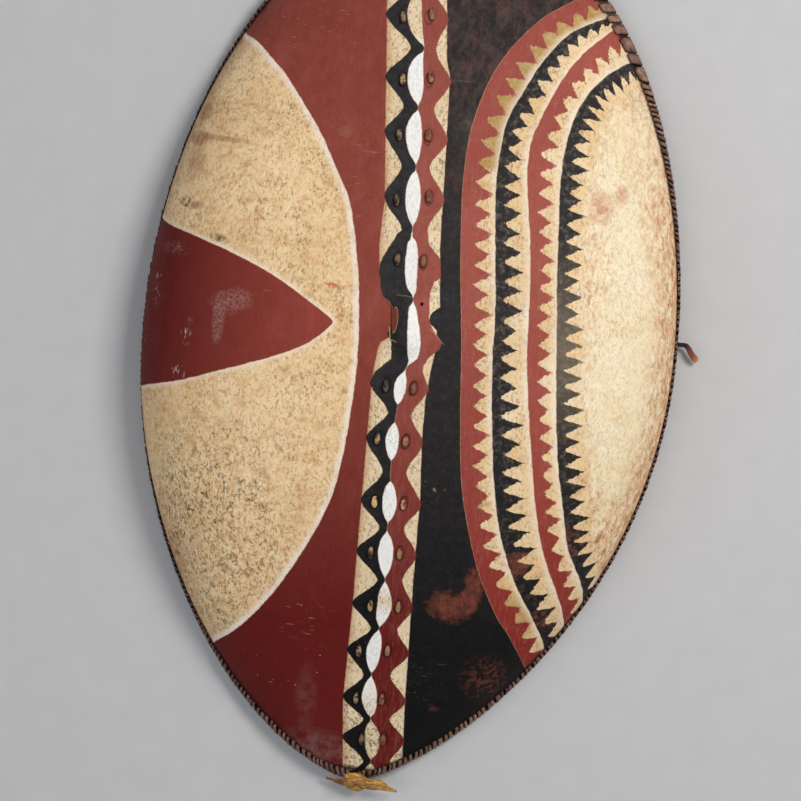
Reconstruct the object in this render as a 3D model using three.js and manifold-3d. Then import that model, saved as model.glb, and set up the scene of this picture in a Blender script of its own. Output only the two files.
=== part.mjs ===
// Hide shield: a domed rawhide face in a pointed oval, a laced hide edge and a carved stave behind it.
// Millimetres. The shield lies face up: +Z out of the face, +Y to the top tip, X across.
import * as THREE from "three";
import { mergeVertices } from "three/addons/utils/BufferGeometryUtils.js";
import Module from "manifold-3d";

const wasm = await Module();
wasm.setup();

// Outline of the face
const halfLength = 518;
const leftHalfWidth = 308;
const rightHalfWidth = 310;
const leftTopFullness = 1.12; // 1 is an ellipse, more is more pointed
const leftFootFullness = 1.23;
const rightTopFullness = 0.94;
const rightFootFullness = 1.47;
const topTipDrift = 14; // how far the top tip swings to the left

// Dome of the face
const crownHeight = 138;
const tipLift = 16;
const turnSharpness = 3; // how late across the face the hide starts to turn down
const leftWaistTurn = 100; // degrees that the hide has turned down at its edge
const rightWaistTurn = 97;
const tipTurn = 14;
const leftTopHold = 5; // how far towards a tip the edge stays turned
const leftFootHold = 3;
const rightTopHold = 1.7;
const rightFootHold = 3.3;
const hideThickness = 6;

// Hand boss in the middle of the face
const bossHalfWidth = 27;
const bossHalfLength = 40;
const bossRise = 11;

// Stave behind the face
const staveLine = 13; // X of the stave over the lower half
const staveSwing = 53; // how far its top swings to the left
const staveSwingFrom = 0;
const staveSwingTo = 540;
const staveWidth = 24;
const staveEndWidth = 15;
const staveThickness = 13;
const staveEndThickness = 8;
const staveOverhang = 15; // wood past the last lashing at either end
const staveGap = 0.8; // between the wood and the hide

// Grip, where the stave bows away from the hide
const gripLine = 24; // Y of the grip's middle
const gripDrop = 44;
const gripStraight = 70; // length of its level middle
const gripThickness = 19;

// Lashings that tie the stave to the hide
const firstLashing = 71.5; // from the grip's middle
const upperLashings = 6;
const upperTightening = 0.5; // each pitch is this much shorter than the one before it
const upperInset = 80; // from the last lashing to the top tip
const lowerLashings = 8;
const lowerTightening = 2.1;
const lowerInset = 53;
const stitchSpread = 16; // either side of the stave line
const stitchLength = 13;
const thongWidth = 6;
const thongThickness = 3;
const thongGap = 0.5;
const turnGap = 1.3; // between the stave and the turns behind it
const turnCloseness = 0.72; // share of a stitch's length that the turns lie apart
const stitchBend = 1.5; // how far a thong runs straight behind the hide, and inwards as it bends round
const turnStart = 0.72; // share of the way back at which a thong bends
const slitClearance = 0.4;

// Strip laced over the edge of the hide
const lacingReach = 14; // how far it lies over the face
const lacingThickness = 3.4;
const lacingGroove = 1.3; // depth of the groove between two turns
const lacingTurns = 52;
const lacingGap = 0.5;

// Loose ends of hide at the foot and the right edge
const knotLength = 22;
const knotRadius = 6;
const leafLength = 58;
const leafWidth = 27;
const leafDroop = 14; // how far its end hangs out past the foot tip
const tailLength = 34;
const tailWidth = 8;
const footStripThickness = 2.6;
const sideEndLine = 32; // Y where the end leaves the edge
const sideStemLength = 10;
const sideEndLength = 23;
const sideEndFall = 17; // how far it turns down towards the foot
const sideEndWidth = 8;
const sideEndThickness = 3;
const looseGap = 1.6; // between a loose end and the lacing
const stripStart = 0.25; // share of a half wave that a strip's width starts and ends at
const stripEnd = 0.97;
const bluntTip = 0.3; // least share of its width that a strip ends with

// Fineness of the facets
const faceRows = 24;
const faceColumns = 6; // from the crown to either edge
const columnCrowding = 1.6; // how much closer the columns stand towards an edge
const lastRow = 84; // degrees of the last row before a tip
const rowSpacing = 1.5; // least degrees between an evenly spaced row and one of the boss's
const sectionSteps = 60;
const sectionReach = 1.05; // the section is known a little past the edge
const steepestRow = 85; // normals beyond it are read there, on the crown
const smallShare = 0.004;
const smallTurn = 0.3;
const shoulderSpans = 4; // of the grip, at either end
const staveSpans = 8; // of the stave, from the grip to either end
const rimSmoothing = [-6, -3, 0, 3, 6]; // degrees over which the edge's normal is averaged

const toRadians = Math.PI / 180;
const lerp = THREE.MathUtils.lerp;
const smoothstep = THREE.MathUtils.smoothstep;
const vector = (x, y, z) => new THREE.Vector3(x, y, z);

// Joining and cutting

function solidOf(geometry) {
  geometry.deleteAttribute("normal");
  geometry.deleteAttribute("uv");
  const merged = mergeVertices(geometry, 1e-4);
  const corners = merged.index.array;
  const kept = [];
  for (let i = 0; i < corners.length; i += 3) {
    const [a, b, c] = corners.slice(i, i + 3);
    if (a !== b && b !== c && c !== a) kept.push(a, b, c);
  }
  return new wasm.Manifold(
    new wasm.Mesh({
      numProp: 3,
      vertProperties: merged.attributes.position.array,
      triVerts: new Uint32Array(kept),
    }),
  );
}

function geometryOf(solid) {
  const mesh = solid.getMesh();
  const geometry = new THREE.BufferGeometry();
  geometry.setAttribute("position", new THREE.BufferAttribute(mesh.vertProperties, 3));
  geometry.setIndex(new THREE.BufferAttribute(mesh.triVerts, 1));
  geometry.computeVertexNormals();
  return geometry;
}

// Closed surface through rings of points: ended by flat caps, or joined head to tail
function loft(rings, joined = false) {
  const count = rings[0].length;
  const positions = rings.flat().flatMap((p) => [p.x, p.y, p.z]);
  const faces = [];
  const spans = joined ? rings.length : rings.length - 1;
  for (let i = 0; i < spans; i++) {
    const here = i * count;
    const next = ((i + 1) % rings.length) * count;
    for (let j = 0; j < count; j++) {
      const k = (j + 1) % count;
      faces.push(here + j, here + k, next + k, here + j, next + k, next + j);
    }
  }
  if (!joined) {
    const last = (rings.length - 1) * count;
    for (let j = 1; j < count - 1; j++) {
      faces.push(0, j + 1, j);
      faces.push(last, last + j, last + j + 1);
    }
  }
  return closedGeometry(positions, faces);
}

function closedGeometry(positions, faces) {
  const geometry = new THREE.BufferGeometry();
  geometry.setAttribute("position", new THREE.Float32BufferAttribute(positions, 3));
  const turned = signedVolume(positions, faces) < 0 ? faces.slice().reverse() : faces;
  geometry.setIndex(turned);
  return geometry;
}

function signedVolume(positions, faces) {
  const corner = (n) => vector(...positions.slice(3 * n, 3 * n + 3));
  let volume = 0;
  for (let i = 0; i < faces.length; i += 3) {
    const [a, b, c] = [faces[i], faces[i + 1], faces[i + 2]].map(corner);
    volume += a.dot(b.cross(c)) / 6;
  }
  return volume;
}

// Surface of the face: rows run across the shield at an angle from -90 at the foot to 90 at the top,
// and the share goes from -1 at the left edge over 0 on the crown to 1 at the right edge

function turnAtEdge(right, along) {
  const leftHold = along > 0 ? leftTopHold : leftFootHold;
  const rightHold = along > 0 ? rightTopHold : rightFootHold;
  const waistTurn = right ? rightWaistTurn : leftWaistTurn;
  const share = Math.abs(along) ** (right ? rightHold : leftHold);
  return lerp(waistTurn, tipTurn, share) * toRadians;
}

// Arc that starts level on the crown and turns down by the given angle at share 1
function sectionTable(turn) {
  const table = [{ share: 0, across: 0, down: 0 }];
  const step = sectionReach / sectionSteps;
  for (let i = 1; i <= sectionSteps; i++) {
    const share = step * i;
    const angle = turn * (share - step / 2) ** turnSharpness;
    const last = table[i - 1];
    table.push({
      share,
      across: last.across + Math.cos(angle) * step,
      down: last.down + Math.sin(angle) * step,
    });
  }
  return table;
}

function readTable(table, share) {
  const place = share / table[1].share;
  const i = Math.min(Math.floor(place), table.length - 2);
  const across = lerp(table[i].across, table[i + 1].across, place - i);
  const down = lerp(table[i].down, table[i + 1].down, place - i);
  return { across, down };
}

const sections = new Map();
function sectionFor(turn) {
  if (!sections.has(turn)) sections.set(turn, sectionTable(turn));
  return sections.get(turn);
}

function halfSection(row, side) {
  const along = Math.sin(row * toRadians);
  const right = side > 0;
  const top = along > 0;
  const fullnessRight = top ? rightTopFullness : rightFootFullness;
  const fullnessLeft = top ? leftTopFullness : leftFootFullness;
  const fullness = right ? fullnessRight : fullnessLeft;
  const narrowing = Math.max(Math.cos(row * toRadians), 0) ** fullness;
  const halfWidth = (right ? rightHalfWidth : leftHalfWidth) * narrowing;
  const table = sectionFor(turnAtEdge(right, along));
  const edge = readTable(table, 1);
  return { along, halfWidth, table, edge, arc: halfWidth / edge.across };
}

const driftAt = (along) => (along > 0 ? -topTipDrift * along ** 4 : 0);

// X of the line that the stave, the lashings and the boss follow
function staveX(y) {
  return staveLine - staveSwing * smoothstep(y, staveSwingFrom, staveSwingTo);
}

// Height of the hand boss over the plain dome
function bossAt(x, y) {
  const across = Math.min(Math.abs(x - staveX(y)) / bossHalfWidth, 1);
  const along = Math.min(Math.abs(y - gripLine) / bossHalfLength, 1);
  return bossRise * (1 - across ** 2) ** 2 * (1 - along ** 4) ** 2;
}

function facePoint(row, share) {
  const side = share < 0 ? -1 : 1;
  const { along, halfWidth, table, edge } = halfSection(row, side);
  const { across, down } = readTable(table, Math.abs(share));
  const rim = tipLift * along ** 4;
  const crown = crownHeight * (1 - along * along);
  const x = driftAt(along) + (side * halfWidth * across) / edge.across;
  const y = halfLength * along;
  return vector(x, y, rim + crown * (1 - down / edge.down) + bossAt(x, y));
}

function faceNormal(row, share) {
  const beyond = Math.abs(row) > steepestRow;
  const r = beyond ? Math.sign(row) * steepestRow : row;
  const s = beyond ? 0 : share;
  const across = facePoint(r, s + smallShare).sub(facePoint(r, s - smallShare));
  const along = facePoint(r + smallTurn, s).sub(facePoint(r - smallTurn, s));
  return across.cross(along).normalize();
}

// Row and share of the crown's neighbourhood at X, Y
function faceAt(x, y) {
  const row = Math.asin(y / halfLength) / toRadians;
  const offset = x - driftAt(y / halfLength);
  const { arc } = halfSection(row, Math.sign(offset) || 1);
  const share = offset / arc;
  return { point: facePoint(row, share), normal: faceNormal(row, share) };
}

// Place on the edge by its turn in degrees: 0 at the foot tip, up the right edge to 180 at the top tip,
// and down the left edge to 360
function rimPlace(turn) {
  const whole = THREE.MathUtils.euclideanModulo(turn, 360);
  return whole <= 180 ? { row: whole - 90, side: 1 } : { row: 270 - whole, side: -1 };
}

const rimTurn = (row, side) => (side > 0 ? row + 90 : 270 - row);

function rimPoint(turn) {
  const { row, side } = rimPlace(turn);
  return facePoint(row, side);
}

function rimFrame(turn) {
  const point = rimPoint(turn);
  const along = rimPoint(turn + smallTurn).sub(rimPoint(turn - smallTurn)).normalize();
  const normal = vector(0, 0, 0);
  for (const offset of rimSmoothing) {
    const { row, side } = rimPlace(turn + offset);
    normal.add(faceNormal(row, side));
  }
  normal.addScaledVector(along, -normal.dot(along)).normalize();
  return { point, normal, outward: along.cross(normal) };
}

// Hide

function rowAngles() {
  const rows = [-90, 90];
  for (let i = 0; i <= faceRows; i++) rows.push(lerp(-lastRow, lastRow, i / faceRows));
  const bossRows = [-1, -0.75, 0, 0.75, 1].map((share) => gripLine + share * bossHalfLength);
  const angles = bossRows.map((y) => Math.asin(y / halfLength) / toRadians);
  const even = rows.filter((row) => angles.every((angle) => Math.abs(angle - row) > rowSpacing));
  return even.concat(angles).sort((a, b) => a - b);
}

function columnShares() {
  const shares = [];
  for (let j = 1; j <= faceColumns; j++) {
    const share = 1 - (1 - j / faceColumns) ** columnCrowding;
    shares.push(share, -share);
  }
  const { arc } = halfSection(0, 1);
  for (const share of [-1, -0.5, 0, 0.5, 1]) {
    shares.push((staveX(gripLine) + share * bossHalfWidth) / arc);
  }
  return shares.sort((a, b) => a - b);
}

// Sheet that follows the face, from above it to below it, and a little past its edge
function faceSheet(above, below, past) {
  const rows = rowAngles();
  const shares = columnShares();
  const positions = [];
  for (const level of [above, -below]) {
    for (const row of rows) {
      for (const share of shares) {
        const atEdge = Math.abs(share) === 1 || Math.abs(row) === 90;
        const edge = atEdge ? rimFrame(rimTurn(row, share)) : null;
        const normal = edge ? edge.normal : faceNormal(row, share);
        const p = facePoint(row, share).addScaledVector(normal, level);
        if (edge) p.addScaledVector(edge.outward, past);
        positions.push(p.x, p.y, p.z);
      }
    }
  }
  const width = shares.length;
  const layer = rows.length * width;
  const faces = [];
  for (let i = 0; i < rows.length - 1; i++) {
    for (let j = 0; j < width - 1; j++) {
      const a = i * width + j;
      const b = a + 1;
      const c = a + width + 1;
      const d = a + width;
      faces.push(a, b, c, a, c, d);
      faces.push(layer + a, layer + c, layer + b, layer + a, layer + d, layer + c);
    }
    for (const [j, turn] of [[0, false], [width - 1, true]]) {
      const a = i * width + j;
      const d = a + width;
      const strip = [a, d, layer + d, a, layer + d, layer + a];
      faces.push(...(turn ? strip.reverse() : strip));
    }
  }
  return closedGeometry(positions, faces);
}

// Distances of a row of lashings from the grip's middle, closer together towards the tip
function lashingRun(count, tightening, reach) {
  const lost = (i) => (i * (i - 1) * tightening) / 2;
  const pitch = (reach - firstLashing + lost(count - 1)) / (count - 1);
  return Array.from({ length: count }, (_, i) => firstLashing + i * pitch - lost(i));
}

// Y of every lashing, from the top down
function lashingLines() {
  const upper = lashingRun(upperLashings, upperTightening, halfLength - upperInset - gripLine);
  const lower = lashingRun(lowerLashings, lowerTightening, halfLength - lowerInset + gripLine);
  return [...upper.reverse().map((run) => gripLine + run), ...lower.map((run) => gripLine - run)];
}

// Frame of a lashing: its origin on the face over the stave line, Z out of the face
function lashingFrame(y) {
  const x = staveX(y);
  const { point, normal } = faceAt(x, y);
  const along = vector(staveX(y + 1) - staveX(y - 1), 2, 0);
  along.addScaledVector(normal, -along.dot(normal)).normalize();
  const across = along.clone().cross(normal);
  return new THREE.Matrix4().makeBasis(across, along, normal).setPosition(point);
}

function slitSolids(y) {
  const frame = lashingFrame(y);
  const slits = [];
  for (const side of [-1, 1]) {
    for (const end of [-1, 1]) {
      const slit = new THREE.BoxGeometry(
        thongWidth + 2 * slitClearance,
        thongThickness + 2 * slitClearance,
        4 * hideThickness,
      );
      slit.translate(side * stitchSpread, (end * stitchLength) / 2, 0);
      slits.push(solidOf(slit.applyMatrix4(frame)));
    }
  }
  return slits;
}

function hideSolid() {
  let hide = solidOf(faceSheet(0, hideThickness, 0));
  for (const y of lashingLines()) {
    for (const slit of slitSolids(y)) hide = hide.subtract(slit);
  }
  return hide;
}

// Lacing over the edge

// Turns of places that lie evenly along the edge
function rimStations(count) {
  const points = Array.from({ length: 361 }, (_, turn) => rimPoint(turn));
  const lengths = [0];
  for (let i = 1; i <= 360; i++) lengths.push(lengths[i - 1] + points[i].distanceTo(points[i - 1]));
  const stations = [];
  let i = 0;
  for (let n = 0; n < count; n++) {
    const target = (lengths[360] * (n + 0.5)) / count;
    while (lengths[i + 1] < target) i++;
    stations.push(i + (target - lengths[i]) / (lengths[i + 1] - lengths[i]));
  }
  return stations;
}

// Body that wraps the edge, grooved between its turns, swollen by the clearance
function lacingBody(groove, clearance) {
  const rings = rimStations(2 * lacingTurns).map((turn, n) => {
    const { point, normal, outward } = rimFrame(turn);
    const proud = lacingThickness + clearance - (n % 2 ? groove : 0);
    const reach = lacingReach + clearance;
    const below = -hideThickness - proud;
    const bevel = lacingThickness / 2;
    const section = [
      [-reach, 0],
      [bevel - reach, proud],
      [proud - bevel, proud],
      [proud, -hideThickness / 2],
      [proud - bevel, below],
      [bevel - reach, below],
      [-reach, -hideThickness],
    ];
    return section.map(([out, up]) =>
      point.clone().addScaledVector(outward, out).addScaledVector(normal, up),
    );
  });
  return solidOf(loft(rings, true));
}

function lacingSolid() {
  const seat = faceSheet(lacingGap, hideThickness + lacingGap, lacingGap);
  return lacingBody(lacingGroove, 0).subtract(solidOf(seat));
}

// Stave

const gripSlope = firstLashing - gripStraight / 2 - stitchLength / 2 - thongWidth;

// 1 on the level middle of the grip, 0 from the foot of its shoulders outwards
function gripShare(y) {
  const away = Math.abs(y - gripLine) - gripStraight / 2;
  return 1 - smoothstep(away, 0, gripSlope);
}

function staveEnds() {
  const lines = lashingLines();
  return { top: lines[0] + staveOverhang, foot: lines.at(-1) - staveOverhang };
}

// 0 at the grip, 1 at either end of the stave
function staveTaper(y) {
  const { top, foot } = staveEnds();
  const reach = y > gripLine ? top - gripLine : gripLine - foot;
  return (Math.abs(y - gripLine) / reach) ** 2;
}

const plainThickness = (y) => lerp(staveThickness, staveEndThickness, staveTaper(y));

function staveSection(y) {
  const x = staveX(y);
  const grip = gripShare(y);
  const { point, normal } = faceAt(x, y);
  const level = faceAt(staveX(gripLine), gripLine).point.z - hideThickness - gripDrop;
  const width = lerp(staveWidth, staveEndWidth, staveTaper(y));
  const thickness = lerp(plainThickness(y), gripThickness, grip);
  const down = normal.clone().negate().lerp(vector(0, 0, -1), grip).normalize();
  const front = point.addScaledVector(down, hideThickness + staveGap);
  front.z = lerp(front.z, level, grip);
  if (grip > 0) front.y = lerp(front.y, y, grip);
  const bevel = thickness / 4;
  const half = width / 2;
  const section = [
    [-half, bevel],
    [bevel - half, 0],
    [half - bevel, 0],
    [half, bevel],
    [half, thickness - bevel],
    [half - bevel, thickness],
    [bevel - half, thickness],
    [-half, thickness - bevel],
  ];
  return section.map(([out, deep]) =>
    front.clone().addScaledVector(down, deep).add(vector(out, 0, 0)),
  );
}

function staveGeometry() {
  const { top, foot } = staveEnds();
  const gripEnd = gripStraight / 2;
  const past = gripEnd + gripSlope;
  const rows = [];
  for (let i = 0; i <= shoulderSpans; i++) {
    const away = lerp(gripEnd, past, i / shoulderSpans);
    rows.push(gripLine + away, gripLine - away);
  }
  for (let i = 1; i <= staveSpans; i++) {
    rows.push(lerp(gripLine + past, top, i / staveSpans));
    rows.push(lerp(gripLine - past, foot, i / staveSpans));
  }
  return loft(rows.sort((a, b) => a - b).map(staveSection));
}

// Lashings

// One thong: a short stitch on the face either side, and two turns behind the stave
function lashingGeometry(y) {
  const front = thongGap + thongThickness / 2;
  const back = -(hideThickness + staveGap + plainThickness(y) + turnGap + thongThickness / 2);
  const end = stitchLength / 2;
  const flat = { wide: thongWidth, thick: thongThickness };
  const quarter = [
    { at: [stitchSpread, end * 0.97, front], width: [1, 0, 0], ...flat },
    { at: [stitchSpread, end, -hideThickness - stitchBend], width: [1, 0, 0], ...flat },
    { at: [stitchSpread + 0.4, end * 0.9, back * turnStart], width: [0.6, -0.8, 0], ...flat },
    { at: [stitchSpread - stitchBend, end * turnCloseness, back + 0.4], width: [0, -1, 0], ...flat },
  ];
  const mirrored = (points, sx, sy) =>
    points.map((p) => ({
      ...p,
      at: [p.at[0] * sx, p.at[1] * sy, p.at[2]],
      width: [p.width[0] * sx, p.width[1] * sy, 0],
    }));
  const route = [
    ...mirrored(quarter, 1, 1),
    ...mirrored(quarter, -1, 1).reverse(),
    ...mirrored(quarter, -1, -1),
    ...mirrored(quarter, 1, -1).reverse(),
  ];
  const frame = lashingFrame(y);
  const rings = route.map((station, i) => {
    const before = route[(i + route.length - 1) % route.length].at;
    const after = route[(i + 1) % route.length].at;
    const along = vector(...after).sub(vector(...before)).normalize();
    const width = vector(...station.width);
    width.addScaledVector(along, -width.dot(along)).normalize();
    const depth = along.clone().cross(width);
    const corners = [[-1, -1], [1, -1], [1, 1], [-1, 1]];
    return corners.map(([u, v]) =>
      vector(...station.at)
        .addScaledVector(width, (u * station.wide) / 2)
        .addScaledVector(depth, (v * station.thick) / 2)
        .applyMatrix4(frame),
    );
  });
  return loft(rings, true);
}

// Loose ends of hide

// Flat strip along points, full near its start and narrow at the far end
function stripGeometry(points, width, thickness, tip) {
  const curve = new THREE.CatmullRomCurve3(points.map((p) => vector(...p)));
  const steps = 7;
  const rings = [];
  for (let i = 0; i <= steps; i++) {
    const share = i / steps;
    const centre = curve.getPoint(share);
    const along = curve.getTangent(share);
    const across = vector(0, 0, 1).cross(along).normalize();
    const up = along.clone().cross(across);
    const swell = Math.sin(Math.PI * lerp(stripStart, stripEnd, share));
    const half = (width / 2) * Math.max(swell, tip);
    const deep = thickness / 2;
    const corners = [[-half, 0], [0, -deep], [half, 0], [0, deep]];
    rings.push(
      corners.map(([u, v]) =>
        centre.clone().addScaledVector(across, u).addScaledVector(up, v),
      ),
    );
  }
  return loft(rings);
}

// Strip folded over the lacing at the foot: a leaf to the right and a thin tail to the left.
// Its frame is the foot tip's: X across, Y inwards over the face, Z off the face
function footThongSolid() {
  const { point, normal, outward } = rimFrame(0);
  const frame = new THREE.Matrix4().makeBasis(vector(1, 0, 0), outward.negate(), normal);
  frame.setPosition(point);
  const rest = lacingThickness + looseGap + footStripThickness / 2;
  const leaf = stripGeometry(
    [
      [-knotLength / 3, 0, rest],
      [leafLength / 5, -leafDroop / 8, rest + 1],
      [leafLength / 2, -leafDroop / 2, rest],
      [leafLength - knotLength / 3, -leafDroop, rest - footStripThickness],
    ],
    leafWidth,
    footStripThickness,
    bluntTip / 2,
  );
  const middle = -lacingThickness - looseGap - knotRadius / 2;
  const tail = stripGeometry(
    [
      [0, middle, 0],
      [-tailLength / 2, middle - 1, -1],
      [-tailLength, middle + 2, -2],
    ],
    tailWidth,
    footStripThickness,
    bluntTip / 2,
  );
  const knot = new THREE.SphereGeometry(knotRadius, 8, 6);
  knot.scale(knotLength / knotRadius / 2, 1, 1);
  knot.translate(0, middle, footStripThickness);
  const [first, ...others] = [knot, leaf, tail].map((g) => solidOf(g.applyMatrix4(frame)));
  const thong = others.reduce((whole, solid) => whole.add(solid), first);
  return thong.subtract(lacingBody(0, looseGap));
}

function sideEndGeometry() {
  const row = Math.asin(sideEndLine / halfLength) / toRadians;
  const { x, y, z } = rimPoint(rimTurn(row, 1));
  const root = x + lacingThickness + looseGap;
  const up = z + sideEndWidth;
  return stripGeometry(
    [
      [root, y, up],
      [root + sideStemLength, y, up + 1],
      [lerp(root + sideStemLength, root + sideEndLength, 0.4), y - sideEndFall / 2, up],
      [root + sideEndLength, y - sideEndFall, up - 1],
    ],
    sideEndWidth,
    sideEndThickness,
    bluntTip,
  );
}

// Finishes

const finish = (color, roughness) => new THREE.MeshStandardMaterial({ color, roughness, metalness: 0 });
const paintedHide = finish("#8a4438", 0.62);
const lacedHide = finish("#4a281e", 0.75);
const carvedWood = finish("#6b4a2f", 0.6);
const thongHide = finish("#5c4027", 0.7);
const paleHide = finish("#b98a4a", 0.6);

// Assembly

const shield = new THREE.Group();
shield.name = "shield";

function addPiece(name, geometry, material) {
  const mesh = new THREE.Mesh(geometry, material);
  mesh.name = name;
  shield.add(mesh);
}

addPiece("hide_shell", geometryOf(hideSolid()), paintedHide);
addPiece("edge_lacing", geometryOf(lacingSolid()), lacedHide);
addPiece("back_stave", staveGeometry(), carvedWood);
lashingLines().forEach((y, i) => {
  addPiece("lashing_" + (i + 1), lashingGeometry(y), thongHide);
});
addPiece("foot_thong", geometryOf(footThongSolid()), paleHide);
addPiece("side_thong", sideEndGeometry(), paleHide);

// The shield's origin: the middle of its box, on the floor that its edge rests on
const box = new THREE.Box3().setFromObject(shield, true);
const middle = box.getCenter(vector(0, 0, 0));
shield.position.set(-middle.x, -middle.y, -box.min.z);

export default shield;
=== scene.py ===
import math

import bpy
import numpy as np
from mathutils import Matrix, Vector


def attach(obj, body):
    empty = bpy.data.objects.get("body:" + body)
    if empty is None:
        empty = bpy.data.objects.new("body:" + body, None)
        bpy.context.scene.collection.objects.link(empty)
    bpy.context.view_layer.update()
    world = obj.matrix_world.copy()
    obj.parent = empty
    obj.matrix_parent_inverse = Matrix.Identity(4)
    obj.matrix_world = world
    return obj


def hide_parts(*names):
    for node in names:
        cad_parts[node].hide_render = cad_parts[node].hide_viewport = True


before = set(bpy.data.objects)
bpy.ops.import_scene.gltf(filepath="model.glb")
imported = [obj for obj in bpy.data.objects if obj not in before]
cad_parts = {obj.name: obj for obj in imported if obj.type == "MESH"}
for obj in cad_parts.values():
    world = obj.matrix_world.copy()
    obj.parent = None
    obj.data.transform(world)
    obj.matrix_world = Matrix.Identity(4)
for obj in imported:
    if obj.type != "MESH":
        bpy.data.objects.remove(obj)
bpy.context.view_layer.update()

# Shapes are worked out in millimetres round the middle of the face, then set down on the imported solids
shift = np.array([-12.3810, 7.1124, 3.4271])
chance = np.random.default_rng(11)

# Face of the shield: rows run across it from -90 at the foot to 90 at the top, shares go from -1 to 1
face = {
    "halfLength": 518.0,
    "halfWidth": (308.0, 310.0),  # left, right
    "topFullness": (1.12, 0.94),
    "footFullness": (1.23, 1.47),
    "topTipDrift": 14.0,
    "crownHeight": 138.0,
    "tipLift": 16.0,
    "turnSharpness": 3.0,
    "waistTurn": (100.0, 97.0),
    "tipTurn": 14.0,
    "topHold": (5.0, 1.7),
    "footHold": (3.0, 3.3),
    "thickness": 6.0,
    "bossHalfWidth": 27.0,
    "bossHalfLength": 40.0,
    "bossRise": 11.0,
    "steepestRow": 85.0,
    "rows": 340,
    "edgeColumns": 38,  # from the edge to the painted band, either side
    "bandColumns": 54,
    "bandShare": 0.21,
}
staveLine = {"x": 13.0, "swing": 53.0, "swingTo": 540.0, "grip": 24.0}

# Pairs of stitches down the band: Y and X of the left one, Y and X of the right one, top to bottom
stitches = [
    (438, -54, 440, -17), (369, -41, 372, -8), (298, -31, 300, 1), (236, -25, 235, 8), (163, -18, 167, 18),
    (96, -8, 95, 21), (-48, -4, -47, 27), (-109, -7, -108, 25), (-181, -3, -179, 30), (-240, -2, -237, 31),
    (-303, 3, -300, 35), (-359, -6, -354, 27), (-417, -5, -414, 25), (-467, 5, -464, 30),
]


def staveX(y):
    s = np.clip(np.asarray(y, float) / staveLine["swingTo"], 0, 1)
    return staveLine["x"] - staveLine["swing"] * s * s * (3 - 2 * s)


def sectionAt(turn, share, steps=40):
    across = np.zeros(np.broadcast(turn, share).shape)
    down = across.copy()
    for k in range(steps):
        angle = turn * (share * (k + 0.5) / steps) ** face["turnSharpness"]
        across += np.cos(angle)
        down += np.sin(angle)
    return across * share / steps, down * share / steps


def halfSection(row, share):
    along = np.sin(np.radians(row))
    side = (share >= 0).astype(int)
    pick = lambda top, foot: np.where(along > 0, np.array(face[top])[side], np.array(face[foot])[side])
    narrowing = np.maximum(np.cos(np.radians(row)), 0) ** pick("topFullness", "footFullness")
    waist = np.array(face["waistTurn"])[side]
    turn = np.radians(waist + (face["tipTurn"] - waist) * np.abs(along) ** pick("topHold", "footHold"))
    halfWidth = np.array(face["halfWidth"])[side] * narrowing
    return along, halfWidth, turn


# Point of the face, with the length of hide from the crown to the edge
def facePoint(row, share):
    row, share = np.broadcast_arrays(np.asarray(row, float), np.asarray(share, float))
    along, halfWidth, turn = halfSection(row, share)
    across, down = sectionAt(turn, np.abs(share))
    edgeAcross, edgeDown = sectionAt(turn, np.ones_like(share))
    drift = np.where(along > 0, -face["topTipDrift"] * along ** 4, 0)
    x = drift + np.sign(share) * halfWidth * across / edgeAcross
    y = face["halfLength"] * along
    dome = face["crownHeight"] * (1 - along * along) * (1 - down / edgeDown)
    bossAcross = np.clip(np.abs(x - staveX(y)) / face["bossHalfWidth"], 0, 1)
    bossAlong = np.clip(np.abs(y - staveLine["grip"]) / face["bossHalfLength"], 0, 1)
    boss = face["bossRise"] * (1 - bossAcross ** 2) ** 2 * (1 - bossAlong ** 4) ** 2
    return np.stack([x, y, face["tipLift"] * along ** 4 + dome + boss], axis=-1), halfWidth / edgeAcross


def unit(v):
    return v / np.maximum(np.linalg.norm(v, axis=-1, keepdims=True), 1e-9)


def faceNormal(row, share):
    row, share = np.broadcast_arrays(np.asarray(row, float), np.asarray(share, float))
    beyond = np.abs(row) > face["steepestRow"]
    r = np.where(beyond, np.sign(row) * face["steepestRow"], row)
    s = np.where(beyond, 0, share)
    across = facePoint(r, s + 0.004)[0] - facePoint(r, s - 0.004)[0]
    along = facePoint(r + 0.3, s)[0] - facePoint(r - 0.3, s)[0]
    return unit(np.cross(across, along))


# Row and share of a place near the crown
def faceAt(x, y):
    row = np.degrees(np.arcsin(y / face["halfLength"]))
    along = y / face["halfLength"]
    offset = x + (face["topTipDrift"] * along ** 4 if along > 0 else 0)
    arc = facePoint(row, math.copysign(0.01, offset))[1]
    return float(row), float(offset / arc)


# Slow waves of about one unit either way, for surfaces that no hand made true
def waves(x, y, length, seed):
    draw = np.random.default_rng(seed)
    total = 0
    for _ in range(6):
        heading, start = draw.uniform(0, 2 * math.pi, 2)
        size = 2 * math.pi / (length * draw.uniform(0.7, 1.5))
        total = total + np.sin((x * math.cos(heading) + y * math.sin(heading)) * size + start)
    return total / 3


def smoothCurve(points, count, closed=False):
    points = np.array(points, float)
    last = len(points) if closed else len(points) - 1
    place = np.linspace(0, last, count, endpoint=not closed)
    i = np.minimum(place.astype(int), last - 1)
    t = (place - i)[:, None]
    pick = (lambda k: points[k % len(points)]) if closed else (lambda k: points[np.clip(k, 0, last)])
    a, b, c, d = pick(i - 1), pick(i), pick(i + 1), pick(i + 2)
    square, cube = 2 * a - 5 * b + 4 * c - d, 3 * b - a - 3 * c + d
    return 0.5 * (2 * b + (c - a) * t + square * t ** 2 + cube * t ** 3)


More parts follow.
